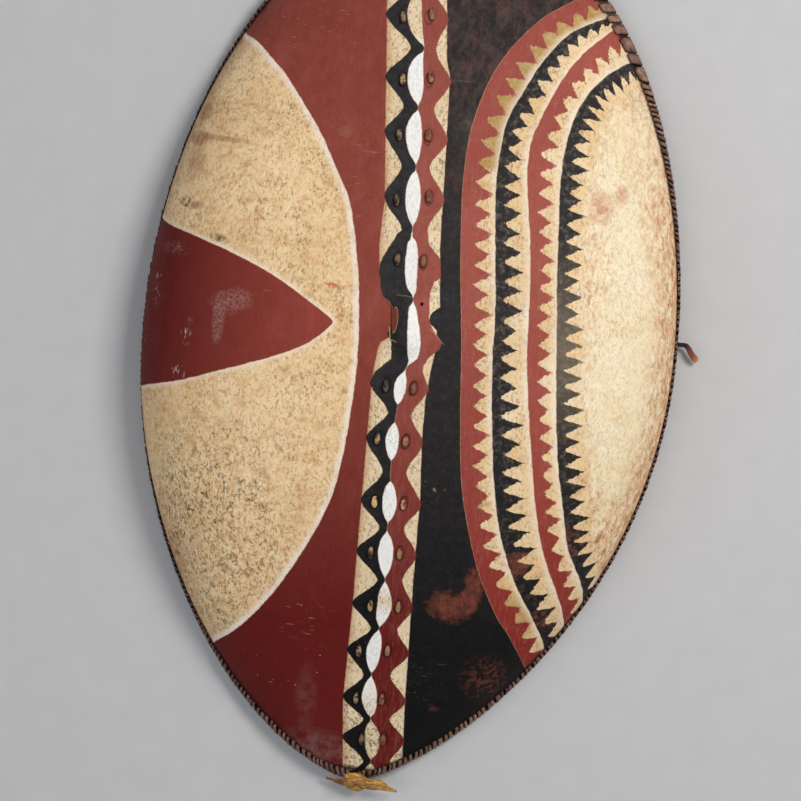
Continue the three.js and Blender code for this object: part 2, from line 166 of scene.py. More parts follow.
# Faces of a tube through rings of points, ended by caps or joined head to tail
def tubeFaces(rings, count, start=0, joined=False):
    faces = []
    for i in range(rings if joined else rings - 1):
        here, following = start + i * count, start + (i + 1) % rings * count
        for j in range(count):
            k = (j + 1) % count
            faces.append((here + j, here + k, following + k, following + j))
    if not joined:
        faces.append(tuple(start + j for j in reversed(range(count))))
        faces.append(tuple(start + (rings - 1) * count + j for j in range(count)))
    return faces


def makePiece(name, points, faces, finish, nodes, fields=None):
    mesh = bpy.data.meshes.new(name)
    mesh.from_pydata(((np.asarray(points) + shift) / 1000).tolist(), [], faces)
    for field, values in (fields or {}).items():
        layer = mesh.attributes.new(field, "FLOAT", "POINT")
        layer.data.foreach_set("value", np.ascontiguousarray(values, dtype=np.float32).ravel())
    mesh.validate()
    mesh.polygons.foreach_set("use_smooth", [True] * len(mesh.polygons))
    mesh.materials.append(finish.material)
    piece = bpy.data.objects.new(name, mesh)
    bpy.context.scene.collection.objects.link(piece)
    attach(piece, "root")
    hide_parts(*nodes)
    print("made", name, len(mesh.polygons), "faces")
    return piece


# Finishes


def tone(code):
    parts = [int(code[i:i + 2], 16) / 255 for i in (1, 3, 5)]
    return [p / 12.92 if p <= 0.04045 else ((p + 0.055) / 1.055) ** 2.4 for p in parts] + [1.0]


def feed(tree, place, value):
    if isinstance(value, Wire):
        tree.links.new(value.socket, place)
    else:
        place.default_value = value


# The output of a shader node, which plain sums can be written with
class Wire:
    def __init__(self, tree, socket):
        self.tree = tree
        self.socket = socket

    def maths(self, kind, *values, clamp=False):
        node = self.tree.nodes.new("ShaderNodeMath")
        node.operation = kind
        node.use_clamp = clamp
        for place, value in zip(node.inputs, values):
            feed(self.tree, place, value)
        return Wire(self.tree, node.outputs[0])

    def __add__(self, other):
        return self.maths("ADD", self, other)

    def __radd__(self, other):
        return self.maths("ADD", other, self)

    def __sub__(self, other):
        return self.maths("SUBTRACT", self, other)

    def __rsub__(self, other):
        return self.maths("SUBTRACT", other, self)

    def __mul__(self, other):
        return self.maths("MULTIPLY", self, other)

    def __rmul__(self, other):
        return self.maths("MULTIPLY", other, self)

    def __truediv__(self, other):
        return self.maths("DIVIDE", self, other)

    def __pow__(self, other):
        return self.maths("POWER", self, other)

    def held(self):  # kept between 0 and 1
        return self.maths("ADD", self, 0.0, clamp=True)

    def past(self, soft=0.6):  # 0 below nought and 1 above it, over a soft edge
        return self.maths("MULTIPLY_ADD", self, 0.5 / soft, 0.5, clamp=True)

    def above(self, level, soft):
        return (self - level).past(soft)

    def size(self):
        return self.maths("ABSOLUTE", self)

    def zigzag(self):  # 0 at whole numbers, 1 halfway
        return self.maths("PINGPONG", self, 0.5) * 2


class Finish:
    def __init__(self, name):
        self.material = bpy.data.materials.new(name)
        self.material.use_nodes = True
        self.tree = self.material.node_tree
        self.tree.nodes.clear()
        self.place = self.node("ShaderNodeTexCoord", "Object")

    def node(self, kind, out=0, links=None, **settings):
        made = self.tree.nodes.new(kind)
        for name, value in settings.items():
            setattr(made, name, value)
        for name, value in (links or {}).items():
            feed(self.tree, made.inputs[name], value)
        return Wire(self.tree, made.outputs[out])

    def field(self, name):
        return self.node("ShaderNodeAttribute", "Fac", attribute_name=name)

    def moved(self, scale=(1, 1, 1), by=(0, 0, 0), turn=0.0):
        links = {"Vector": self.place, "Location": by, "Rotation": (0, 0, turn), "Scale": scale}
        return self.node("ShaderNodeMapping", links=links)

    def noise(self, scale, detail=2.0, roughness=0.5, place=None, twist=0.0):
        links = {"Vector": place or self.place, "Scale": scale, "Detail": detail, "Roughness": roughness}
        links["Distortion"] = twist
        return self.node("ShaderNodeTexNoise", "Fac", links)

    def cells(self, scale, place=None):
        return self.node("ShaderNodeTexVoronoi", "Distance", {"Vector": place or self.place, "Scale": scale})

    def mix(self, first, second, share):
        return self.node("ShaderNodeMix", 2, {0: share, 6: first, 7: second}, data_type="RGBA")

    def coat(self, under, code, share):  # one colour laid over what is under it
        return self.mix(under, tone(code), share)

    def height(self, *layers):  # pairs of a height and its depth in metres
        normal = None
        for wire, depth in layers:
            links = {"Height": wire, "Distance": depth, "Strength": 1.0}
            if normal:
                links["Normal"] = normal
            normal = self.node("ShaderNodeBump", links=links)
        return normal

    def surface(self, colour, roughness, normal, **fixed):
        links = {"Base Color": colour, "Roughness": roughness, "Normal": normal}
        links.update({name.replace("_", " "): value for name, value in fixed.items()})
        shader = self.node("ShaderNodeBsdfPrincipled", links=links)
        end = self.tree.nodes.new("ShaderNodeOutputMaterial")
        self.tree.links.new(shader.socket, end.inputs["Surface"])
        return self


# Camera and light, as the photograph was taken
view = {"target": (0, 0, 60), "lean": 6.725, "east": 6.0, "north": 3.0, "distance": 3600, "lens": 140.93,
        "shift": (-0.0019, -0.0740)}
lamps = [
    {"name": "key", "at": (1.7, 1.3, 2.6), "size": 1.1, "watts": 76, "colour": (1, 0.97, 0.93)},
    {"name": "fill", "at": (-1.9, -0.6, 2.4), "size": 2.6, "watts": 19, "colour": (0.93, 0.96, 1)},
    {"name": "foot", "at": (0.6, -2.2, 1.8), "size": 2.0, "watts": 7, "colour": (1, 1, 1)},
]
room = {"sky": (0.80, 0.82, 0.86, 1), "skyStrength": 0.29, "floorReach": 6.0}


def aim(thing, place, target, lean=0.0):
    ahead = (Vector(target) - Vector(place)).normalized()
    up = (Vector((0, 1, 0)) - ahead * ahead.y).normalized()
    right = ahead.cross(up)
    turned = up * math.cos(lean) - right * math.sin(lean)
    across = right * math.cos(lean) + up * math.sin(lean)
    basis = Matrix((across, turned, -ahead)).transposed().to_4x4()
    thing.matrix_world = Matrix.Translation(place) @ basis


def makeRoom():
    target = Vector((np.array(view["target"]) + shift) / 1000)
    away = Vector((math.tan(math.radians(view["east"])), math.tan(math.radians(view["north"])),
                   1)).normalized()
    camera = bpy.data.objects.new("camera", bpy.data.cameras.new("camera"))
    bpy.context.scene.collection.objects.link(camera)
    camera.data.sensor_width = 36
    camera.data.lens = view["lens"]
    camera.data.shift_x, camera.data.shift_y = view["shift"]
    camera.data.clip_end = 50
    aim(camera, target + away * view["distance"] / 1000, target, math.radians(view["lean"]))
    bpy.context.scene.camera = camera
    for lamp in lamps:
        light = bpy.data.lights.new(lamp["name"], "AREA")
        light.energy, light.size, light.color = lamp["watts"], lamp["size"], lamp["colour"]
        holder = bpy.data.objects.new(lamp["name"], light)
        bpy.context.scene.collection.objects.link(holder)
        aim(holder, Vector(lamp["at"]), target)
    world = bpy.data.worlds.new("soft light")
    world.use_nodes = True
    sky = world.node_tree.nodes["Background"]
    sky.inputs["Color"].default_value = room["sky"]
    sky.inputs["Strength"].default_value = room["skyStrength"]
    bpy.context.scene.world = world
    bpy.context.scene.view_settings.view_transform = "Standard"
    mesh = bpy.data.meshes.new("floor")
    reach = room["floorReach"]
    corners = [(-reach, -reach, 0), (reach, -reach, 0), (reach, reach, 0), (-reach, reach, 0)]
    mesh.from_pydata(corners, [], [(0, 1, 2, 3)])
    floor = bpy.data.objects.new("floor", mesh)
    bpy.context.scene.collection.objects.link(floor)
    paper = Finish("floor paper")
    grain = paper.noise(30, 3)
    colour = paper.mix(tone("#c2c2c4"), tone("#cacacb"), grain)
    paper.surface(colour, 0.85 + grain * 0.1, paper.height((paper.noise(500, 2), 0.0001)))
    mesh.materials.append(paper.material)
    print("room and camera set")


makeRoom()

# Painted hide

# Each deep red and black is that paint in painted shade, and the lighter colour it is mixed with is its
# painted sheen
reds = {"deep": "#640f0a", "rubAndSheen": "#98493c", "stain": "#6e1d14", "wedge": "#9c463a",
        "stripeDeep": "#6a1610", "stripe": "#a4564a", "sawDeep": "#8e281e", "saw": "#ae5c50"}
soots = {"deep": "#070608", "rubAndSheen": "#2c2a2c", "grey": "#57514d"}
creams = {"left": "#ffdaa6", "leftTan": "#dba868", "leftPale": "#fff0cc", "band": "#f6e0b8",
          "lens": "#fdfbf8",
          "saw": "#f6d8a8", "right": "#fdeecb"}

# Lines of the paint, as X along the curve of the hide and Y
paintLines = {
    "creamArc": [(-330, 349), (-246, 331), (-213, 323), (-189, 307), (-163, 286), (-115, 228), (-89, 185),
                 (-69, 150), (-53, 87), (-44, 30), (-40, -20), (-40, -68), (-45, -140), (-55, -190),
                 (-71, -230), (-92, -272), (-121, -318), (-155, -356), (-190, -378), (-250, -410)],
    "sawFirst": [(235, 462), (192, 438), (157, 411), (122, 386), (91, 349), (71, 312), (59, 271), (54, 235),
                 (54, 188), (60, 125), (67, 68), (75, 11), (86, -97), (95, -159), (111, -216), (126, -257),
                 (149, -300), (162, -316), (193, -358), (240, -405)],
    "sawSecond": [(240, 417), (215, 403), (191, 392), (156, 373), (127, 336), (108, 296), (94, 262),
                  (91, 205),
                  (94, 162), (102, 101), (109, 44), (112, -13), (124, -112), (131, -155), (141, -198),
                  (158, -243), (174, -272), (201, -311), (235, -355), (275, -410)],
    "sawThird": [(240, 404), (215, 390), (187, 367), (162, 338), (144, 303), (131, 268), (123, 239),
                 (125, 198),
                 (135, 145), (143, 90), (147, 35), (151, -8), (160, -65), (170, -118), (182, -179),
                 (193, -215),
                 (207, -246), (233, -290), (252, -318), (278, -355)],
    "sawFourth": [(270, 366), (245, 353), (213, 337), (187, 312), (171, 280), (164, 244), (163, 203),
                  (167, 149),
                  (174, 81), (181, 24), (188, -40), (195, -92), (201, -125), (212, -168), (224, -213),
                  (248, -248), (272, -280), (295, -312)],
    "triangleTop": [(-345, 109), (-326, 106), (-233, 89), (-153, 63), (-89, 28.5), (-70, 16), (-44, -8)],
    "triangleFoot": [(-345, -92), (-260, -76), (-201, -56), (-136, -31), (-95, -9), (-70, 16), (-44, 42)],
    "bandLeft": [(518, -76), (438, -65), (385, -58), (271, -45), (159, -31), (125, -31),
                 (106, -30.5), (84, -27.4), (66, -23.4), (51, -18), (46, -10), (36, -7), (18, -5.3), (8, -6),
                 (0, -15.4), (-8, -18.2), (-25, -19.6), (-44, -21), (-66, -20), (-181, -18), (-299, -17.5),
                 (-422, -20), (-484, -16), (-518, -14)],
    "bandRight": [(518, -8), (438, 4), (393, 10.5), (325, 18), (307, 24), (212, 31), (167, 34), (111, 38),
                  (72, 43), (47, 46), (39, 37), (28, 36), (21, 46), (-1, 47), (-26, 44), (-58, 42),
                  (-104, 43), (-172, 48), (-242, 49), (-290, 50), (-411, 52), (-474, 54), (-518, 55)],
}

# The zigzag stripes leave their rhythm round the boss: Y and X of each edge there
bossEdges = {
    "blackLeft": [(127, -12), (118, -14.3), (112, -17), (104.6, -21), (97, -24.6), (86.6, -27.6), (78, -27.2),
                  (65, -24), (51.5, -19.5), (46.5, -11), (41, -8), (27, -5.5), (16, -5.6), (12, -12), (8, -9),
                  (2, -4.5), (-5.6, -3.4), (-17, -1.8), (-25, -9.6), (-33.7, -18.8), (-43, -22)],
    "blackRight": [(127, 3), (120.6, 4.3), (114.4, 0.8), (105.8, 0.7), (94.3, 0.8), (81.4, 1.8), (68.8, 4.5),
                   (63.4, 7.3), (58.3, 12.6), (55.7, 14.8), (48.8, 16), (45.3, 12.7), (38.4, 12.7),
                   (26.9, 13),
                   (15.5, 13.9), (1.2, 15.4), (-10.4, 16.5), (-16.8, 17.9), (-22, 17.3), (-28.8, 15.2),
                   (-32.8, 11.6), (-36.2, 7.7), (-43.6, 6.3)],
    "redLeft": [(127, 3.4), (120.7, 4.8), (118.3, 9), (114.2, 11.3), (101.7, 14.3), (87.3, 15.2),
                (73.1, 16.2),
                (61.7, 17), (57.5, 15.6), (55.7, 14.9), (48.8, 16.1), (46.2, 18.9), (39.4, 21.9), (31, 23.9),
                (19.8, 27.3), (8.5, 29.5), (-1.5, 30.2), (-10.4, 28.7), (-15, 27), (-18.3, 21.6),
                (-22.2, 17.7),
                (-28.7, 15.5), (-35, 17.4), (-42, 19.2)],
    "redRight": [(131.7, 24.9), (124.4, 24.2), (120, 23), (114.5, 25.4), (109.3, 30.5), (104, 36.5), (99, 40),
                 (90, 41.5), (79, 43), (75.5, 36.5), (69.6, 34.8), (60.8, 33.7), (52.2, 33.8), (40.9, 35.5),
                 (32.3, 35.8), (24, 39), (17.4, 44.1), (12.3, 49.8), (8.3, 52.5), (1.1, 51.9), (-4.7, 46),
                 (-12, 39.7), (-19.6, 36.2), (-27, 35.6), (-33.9, 38), (-39.5, 41)],
}

# How the stripes run between two pairs of stitches: Y with each width or offset there
stripeRun = {
    "meeting": [(-150, 0), (130, 0.5), (206, 3), (274, 4.2), (343, 11), (420, 8)],
    "blackWidth": [(-420, 9), (-60, 9), (130, 12), (206, 17), (274, 17), (343, 15)],
    "redWidth": [(-420, 22), (-220, 19), (-80, 17), (130, 17), (206, 15), (274, 18), (343, 13)],
    "lensLength": [(-303, 0.9), (-240, 0.88), (-181, 0.72), (-109, 0.62), (-48, 0.66), (96, 0.87),
                   (438, 0.9)],
    "halfLens": [(-467, 9.5), (-240, 9.0), (-109, 7.8), (-48, 7.4), (96, 8.6), (300, 9.6), (438, 9.6)],
}

saw = {
    "lines": ("sawFirst", "sawSecond", "sawThird", "sawFourth"),  # left edges of the four bands
    "starts": (0.0, 39.0, 79.0, 110.0),
    "roots": (16.0, 11.0, 11.5, 9.5),  # whole colour before the teeth
    "reaches": (18.5, 20.0, 14.5, 20.0),  # length of the teeth
    "pitches": (22.6, 21.6, 21.0, 18.2),
    "offsets": (0.0, 0.35, 0.1, 0.6),
    "crowded": 175.0,  # the teeth stand closer over this run at the top
    "closer": 2.2,
    "lastField": 143.0,  # where the last pale field starts
}


# Small forms of the hide in millimetres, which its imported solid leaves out
relief = {
    "unevenness": 0.7,
    "flatEdge": 40.0,  # the waves fade out over this width
    "innerWave": 0.3,
    "ring": (4.6, 8.2),  # half width and half height of the painted shade in a ring round a stitch
    "dent": 1.5,
    "dentFromMiddle": 6.5,  # the hide is pulled in at both ends of a stitch
    "dentSpread": 14.0,
    "creases": [([(47, -12), (40, -9.5), (24, -7), (6, -4.5), (-3, 0)], 1.6),
                ([(42, 36), (30, 37), (22, 42), (10, 51)], 1.0)],  # Y and X beside the boss, depth
    "creaseWidth": 2.6,
    "creaseEnd": 8.0,
    "rowSpread": 0.72,  # share of the rows' spacing that is even along the length, not round the outline
}


# A drawn line has no corners, so each point is averaged with its neighbours
def drawnLine(points, count=900, reach=26):
    line = smoothCurve(points, count)
    window = np.hanning(2 * reach + 3)[1:-1]
    padded = np.concatenate([2 * line[0] - line[reach:0:-1], line, 2 * line[-1] - line[-2:-reach - 2:-1]])
    return np.stack([np.convolve(padded[:, k], window / window.sum(), "valid") for k in range(2)], axis=-1)


def lineDistance(u, y, points):
    line = drawnLine(points)
    tangent = unit(np.gradient(line, axis=0))
    run = np.concatenate([[0], np.cumsum(np.linalg.norm(np.diff(line, axis=0), axis=1))])
    spots = np.stack([u, y], axis=-1).reshape(-1, 2)
    nearest = np.empty(len(spots), int)
    for start in range(0, len(spots), 4000):
        part = spots[start:start + 4000, None, :] - line[None, :, :]
        nearest[start:start + 4000] = np.argmin((part ** 2).sum(-1), axis=1)
    offset = spots - line[nearest]
    along = tangent[nearest]
    signed = along[:, 0] * offset[:, 1] - along[:, 1] * offset[:, 0]
    forward = (along * offset).sum(-1)
    return signed.reshape(u.shape), (run[nearest] + forward).reshape(u.shape)


def level(y, points):
    ordered = sorted(points)
    return np.interp(y, [p[0] for p in ordered], [p[1] for p in ordered])


# Edges of the two zigzag stripes on each row: they swell outwards at the stitches and meet between them
def stripeEdges(y):
    fields = {name: level(y, paintLines[name]) for name in ("bandLeft", "bandRight")}
    blackY = [s[0] for s in stitches] + [-522]
    redY = [s[2] for s in stitches] + [-520]
    blackX = level(y, [(s[0], s[1]) for s in stitches])
    redX = level(y, [(s[2], s[3]) for s in stitches])
    phase = {}
    lensY = [(a + b) / 2 for a, b in zip(blackY, redY)]
    for name, peaks in (("black", blackY), ("red", redY), ("lens", lensY)):
        ordered = sorted(peaks)
        turns = np.interp(y, ordered, np.arange(len(ordered)))
        phase[name] = np.abs(turns - np.round(turns))
    swell = lambda p: 0.35 * (1 - 2 * p) + 0.325 * (1 + np.cos(2 * math.pi * p))
    run = {name: level(y, points) for name, points in stripeRun.items()}
    bulge = np.clip(1 - (2 * phase["lens"] / run["lensLength"]) ** 2, 0, 1) ** 0.72
    middle = (blackX + redX) / 2 + 0.3
    meeting = middle + run["meeting"]
    halfLens = run["halfLens"] * (1 - 0.05 * (1 + waves(y, y * 0, 130, 21)))  # no two are quite the same
    blackTrough, redTrough = meeting - run["blackWidth"], meeting + run["redWidth"]
    fields["blackLeft"] = blackTrough + (fields["bandLeft"] - 1.5 - blackTrough) * swell(phase["black"])
    fields["redRight"] = redTrough + (fields["bandRight"] + 1.5 - redTrough) * swell(phase["red"])
    fields["blackRight"] = meeting + (middle - halfLens - meeting) * bulge
    fields["redLeft"] = meeting + (middle + halfLens - meeting) * bulge
    for name, points in bossEdges.items():
        near = np.clip(np.minimum(127 - y, y + 45) / 6, 0, 1)
        fields[name] = fields[name] + (level(y, points) - fields[name]) * near
    return fields


def makeHide(finish):
    spread = np.linspace(-1, 1, 4001)
    angle = spread * 90
    even = relief["rowSpread"] * np.sin(np.radians(angle)) + (1 - relief["rowSpread"]) * spread
    rows = np.interp(np.linspace(-1, 1, face["rows"] + 1), even, angle)[1:-1]
    side = np.linspace(face["bandShare"], 1, face["edgeColumns"] + 1)
    middle = np.linspace(-face["bandShare"], face["bandShare"], face["bandColumns"] + 1)
    shares = np.concatenate([-side[:0:-1], middle, side[1:]])
    grid, arc = facePoint(rows[:, None], shares[None, :])
    normals = faceNormal(rows[:, None], shares[None, :])
    u = shares[None, :] * arc
    y = grid[..., 1]
    rim = np.minimum((1 - np.abs(shares))[None, :] * arc, face["halfLength"] - np.abs(y))
    lift = -relief["unevenness"] * (1 + waves(u, y, 170, 3)) * np.clip(rim / relief["flatEdge"], 0, 1)
    ring = np.full(u.shape, 99.0)
    for leftY, leftX, rightY, rightX in stitches:
        for cx, cy in ((leftX, leftY), (rightX, rightY)):
            halfWidth, halfHeight = relief["ring"]
            ring = np.minimum(ring, np.hypot((u - cx) / halfWidth, (y - cy) / halfHeight))
            for end in (-relief["dentFromMiddle"], relief["dentFromMiddle"]):
                away = (u - cx) ** 2 + (y - cy - end) ** 2
                lift -= relief["dent"] * np.exp(-away / relief["dentSpread"])
    for crease, depth in relief["creases"]:
        inside = np.clip(np.minimum(crease[0][0] - y, y - crease[-1][0]) / relief["creaseEnd"], 0, 1)
        lift -= depth * inside * np.exp(-((u - level(y, crease)) / relief["creaseWidth"]) ** 2)
    outer = grid + normals * lift[..., None]
    inner = grid - normals * (face["thickness"] - relief["innerWave"] * waves(u, y, 90, 5)[..., None])
    tips = [facePoint(-90, 0)[0], facePoint(90, 0)[0]]
    tipDown = [faceNormal(-85, 0), faceNormal(85, 0)]
    count = len(shares)
    layer = len(rows) * count
    points = np.concatenate([outer.reshape(-1, 3), inner.reshape(-1, 3), tips,
                             [t - n * face["thickness"] for t, n in zip(tips, tipDown)]])
    faces = []
    for i in range(len(rows) - 1):
        a = i * count
        for j in range(a, a + count - 1):
            faces.append((j, j + 1, j + count + 1, j + count))
            faces.append((layer + j, layer + j + count, layer + j + count + 1, layer + j + 1))
        faces.append((a, a + count, layer + a + count, layer + a))
        b = a + count - 1
        faces.append((b, layer + b, layer + b + count, b + count))
    last = layer - count
    foot, top, footIn, topIn = 2 * layer, 2 * layer + 1, 2 * layer + 2, 2 * layer + 3
    for j in range(count - 1):
        faces.append((foot, j + 1, j))
        faces.append((footIn, layer + j, layer + j + 1))
        faces.append((top, last + j, last + j + 1))
        faces.append((topIn, layer + last + j + 1, layer + last + j))
    faces += [(foot, 0, layer, footIn), (foot, footIn, layer + count - 1, count - 1)]
    faces += [(top, topIn, layer + last, last), (top, last + count - 1, layer + last + count - 1, topIn)]

    fields = {"across": u, "upward": y, "rim": rim, "ring": ring}
    fields["creamArc"], _ = lineDistance(u, y, paintLines["creamArc"])
    found = [lineDistance(u, y, paintLines[name]) for name in saw["lines"]]
    fields["saw"] = found[0][0]
    for k in range(1, len(found)):
        before, beyond = found[k - 1][0], found[k][0]
        low, high = saw["starts"][k - 1:k + 1]
        share = before / np.where(before - beyond > 1, before - beyond, 1)
        between = low + (high - low) * np.clip(share, 0, 1)
        fields["saw"] = np.where(before > 0, np.where(beyond > 0, high + beyond, between), fields["saw"])
    fields["firstRun"], fields["lastRun"] = found[1][1], found[3][1]
    sides = []
    for name, sign in (("triangleTop", 1), ("triangleFoot", -1)):
        line = drawnLine(paintLines[name], 300, 12)
        sides.append(sign * (np.interp(u, line[:, 0], line[:, 1]) - y) * 0.93)
    soft = 3.0  # rounds the tip of the triangle
    fields["triangle"] = -soft * np.logaddexp(-sides[0] / soft, -sides[1] / soft)
    for name, edge in stripeEdges(face["halfLength"] * np.sin(np.radians(rows))).items():
        fields[name] = u - edge[:, None]
    packed = {}
    for name, values in fields.items():
        plain = np.broadcast_to(values, u.shape).ravel()
        ends = [plain[count // 2], plain[last + count // 2]]
        packed[name] = np.concatenate([plain, plain, ends, ends])
    packed["inside"] = np.concatenate([np.zeros(layer), np.ones(layer), [0, 0, 1, 1]])
    return makePiece("painted_hide", points, faces, finish, ["hide_shell"], packed)


# Marks in the paint: place across and up the face, half width, half height and strength of each patch
marks = {
    "scratched": [(-150, 345, 90, 50, 1), (-62, 175, 26, 90, 0.7), (-70, -330, 40, 40, 1)],
    "nicked": [(-120, -350, 100, 90, 1)],
    "footWorn": [(-48, -492, 64, 34, 1), (-64, -425, 16, 50, 0.45)],
    "soiled": [(-205, -255, 120, 150, 1)],
    "stained": [(-278, 236, 22, 14, 1), (-272, 179, 26, 26, 0.7), (-276, 205, 30, 10, 1),
                (-236, 207, 50, 4.5, 0.8)],
    "stainedLow": [(-270, -290, 40, 70, 1)],
    "spotted": [(-276, 131, 12, 8, 1.2), (-262, 128, 22, 6, 0.7), (-222, 93, 22, 7, 1)],
    "redTrace": [(-80, 57, 14, 3.5, 1)],
    "hazed": [(-206, 4, 9, 34, 1.3), (-184, 29, 20, 14, 1), (-200, 22, 22, 16, 0.7)],
    "wedgeScratched": [(-145, 40, 42, 12, 1)],
    "ticked": [(-246, -16, 12, 18, 1), (-322, -36, 8, 8, 1), (-254, -64, 14, 10, 1), (-308, 28, 12, 26, 1)],
    "scribbled": [(-285, 76, 34, 10, 1)],
    "greened": [(62, 256, 34, 16, 1)],
    "ember": [(92, -293, 36, 26, 1), (118, -268, 16, 36, 1)],
    "emberLow": [(85, -418, 8, 6, 0.8), (142, -376, 34, 34, 1)],
    "fieldScratched": [(96, -140, 40, 70, 1), (60, 300, 50, 60, 1), (70, -390, 60, 60, 0.5)],
    "chipped": [(60, -162, 26, 14, 1)],
    "chippedLow": [(60, -385, 46, 34, 1)],
    "bare": [(-3.8, 27, 5.0, 16, 1)],
    "ochre": [(85, -165, 40, 26, 1.6), (150, -300, 60, 40, 1.4)],
    "bandWorn": [(167, -234, 27, 22, 1)],
    "bandWornLow": [(205, -300, 22, 16, 1), (225, -205, 22, 26, 0.7)],
    "reddened": [(215, -190, 80, 70, 0.6), (215, 100, 30, 60, 0.35)],
    "pinked": [(213, 178, 20, 24, 1)],
    "pinkedHigh": [(236, 195, 11, 14, 1)],
    "hole": [(26, 48.4, 2.4, 2.6, 1)],
}


# The paint with what its coats share: its place on the face, the lines of the pattern and the wear
class HidePaint(Finish):
    def __init__(self):
        super().__init__("painted hide")
        names = ("across", "upward", "rim", "ring", "creamArc", "saw", "firstRun", "lastRun", "triangle",
                 "bandLeft", "bandRight", "blackLeft", "blackRight", "redLeft", "redRight", "inside")
        self.f = {name: self.field(name) for name in names}
        self.u, self.y = self.f["across"], self.f["upward"]
        self.slow = self.noise(28, 3)
        self.hand = self.noise(70, 3, 0.6) - 0.5
        self.fine = self.noise(420, 3, 0.65)
        self.ragged = self.noise(210, 3, 0.65, self.moved(by=(0.5, 0.5, 0.1))) - 0.5
        self.blot = self.noise(11, 4, 0.6, self.moved(by=(0.3, 0.1, 0.7)))
        self.grit = self.noise(900, 2, 0.6, self.moved(by=(0.9, 0.4, 0.2)))
        self.shake = self.hand * 4.6 + self.ragged * 3.4

        # Dark flecks in short strokes, thick in some places, and broader soft blots under them
        self.strokes = self.noise(350, 3, 0.64, self.moved((1, 0.6, 1), turn=0.4), 0.6)
        self.crowd = self.noise(24, 4, 0.6, self.moved(by=(0.1, 0.8, 0.3)))
        self.flecks = self.strokes.above(0.575, 0.055) * (0.45 + self.crowd.above(0.50, 0.12) * 0.55)
        self.dots = self.grit.above(0.62, 0.05) * 0.5
        self.dirt = (self.flecks + self.dots).held()
        self.mottle = self.noise(150, 5, 0.72, self.moved(by=(0.2, 0.6, 0.1)))
        self.blots = self.noise(75, 4, 0.68, self.moved(by=(0.6, 0.9, 0.2)))
        worms = self.noise(165, 3, 0.6, self.moved((1, 0.7, 1), by=(0.4, 0.7, 0.9), turn=-0.5), 1.4)
        thick = (self.spots("soiled") * 1.5).held() * (0.5 + self.crowd * 0.8)
        self.soiled = worms.above(0.555, 0.05) * thick

        # Painted light up the face: a painted sheen, lightest above the middle, and painted shade towards the
        # foot. Then rubbing and scratches
        upper = ((self.y - 150) / 350).held()
        self.paintedLight = (((self.y + 330) / 380).held() - upper * 0.26) * (0.9 + self.hand * 0.5)
        self.brushed = self.noise(60, 4, 0.7, self.moved((5, 0.6, 1)))
        self.rubbing = self.noise(34, 5, 0.7, self.moved((1.6, 0.8, 1)))
        self.streaks = self.noise(42, 6, 0.8, self.moved((1.8, 1, 1)))
        self.scratch = self.noise(130, 2, 0.6, self.moved((0.35, 5, 1), turn=-0.35)).above(0.70, 0.03)

    def spots(self, name):
        total = 0
        for across, up, halfWidth, halfHeight, strength in marks[name]:
            away = ((self.u - across) / halfWidth) ** 2 + ((self.y - up) / halfHeight) ** 2
            total = total + (1 - away).held() * strength
        return total

    def rubbedThrough(self, spot):  # broken towards its edge
        return ((spot * 1.1 + self.streaks * 1.6 + self.mottle * 1.8 - 2.15) * (spot * 8).held()).held()

    def upTo(self, left, right, first, second):  # between two lines of the pattern
        return (self.f[left] + self.shake * first).past() * (1 - (self.f[right] + self.shake * second).past())


# Thin line where the offset is nought, over a reach either way
def hairLine(offset, half, along, reach, soft=0.5, fade=0.1):
    return (half - offset.size()).past(soft) * (1 - (along / reach).size()).past(fade)


# Red of the left side: lighter in the middle with painted sheen and rubbing, deep below with painted shade
def redSide(paint):
    paintedLight, blots = paint.paintedLight, paint.blots
    red = paint.mix(tone(reds["deep"]), tone(reds["rubAndSheen"]), paintedLight.held())
    red = paint.coat(red, reds["stain"], (paint.blot * 1.8 - 0.6).held() * 0.4)
    red = paint.coat(red, "#a8685a", paint.brushed.above(0.6, 0.12) * 0.14 * (0.2 + paintedLight))
    red = paint.coat(red, "#a65a52", paint.rubbing.above(0.56, 0.1) * paintedLight.held() * 0.3)
    red = paint.coat(red, "#c79a8a", paint.scratch * paint.spots("scratched").held() * 0.8)
    away = (((paint.u + 86.5) / 7) ** 2 + ((paint.y - 230.5) / 6) ** 2) ** 0.5 + paint.ragged * 1.4
    ringed = (1 - (away - 0.8).size() * 2.4).held() * 0.7 + (1 - away * 1.6).held()
    red = paint.coat(red, "#8f7446", ringed.held() * 0.55)
    nicks = (1 - paint.cells(75, place=paint.moved(by=(0.4, 0.2, 0))) * 14).held()
    red = paint.coat(red, "#e4cfc2", nicks * paint.spots("nicked").above(0.1, 0.1) * paint.crowd.above(0.5,
                                                                                                       0.04))
    return paint.coat(red, "#92706c", (paint.spots("footWorn") * (blots * 3 - 1.0).held()).held() * 0.6)


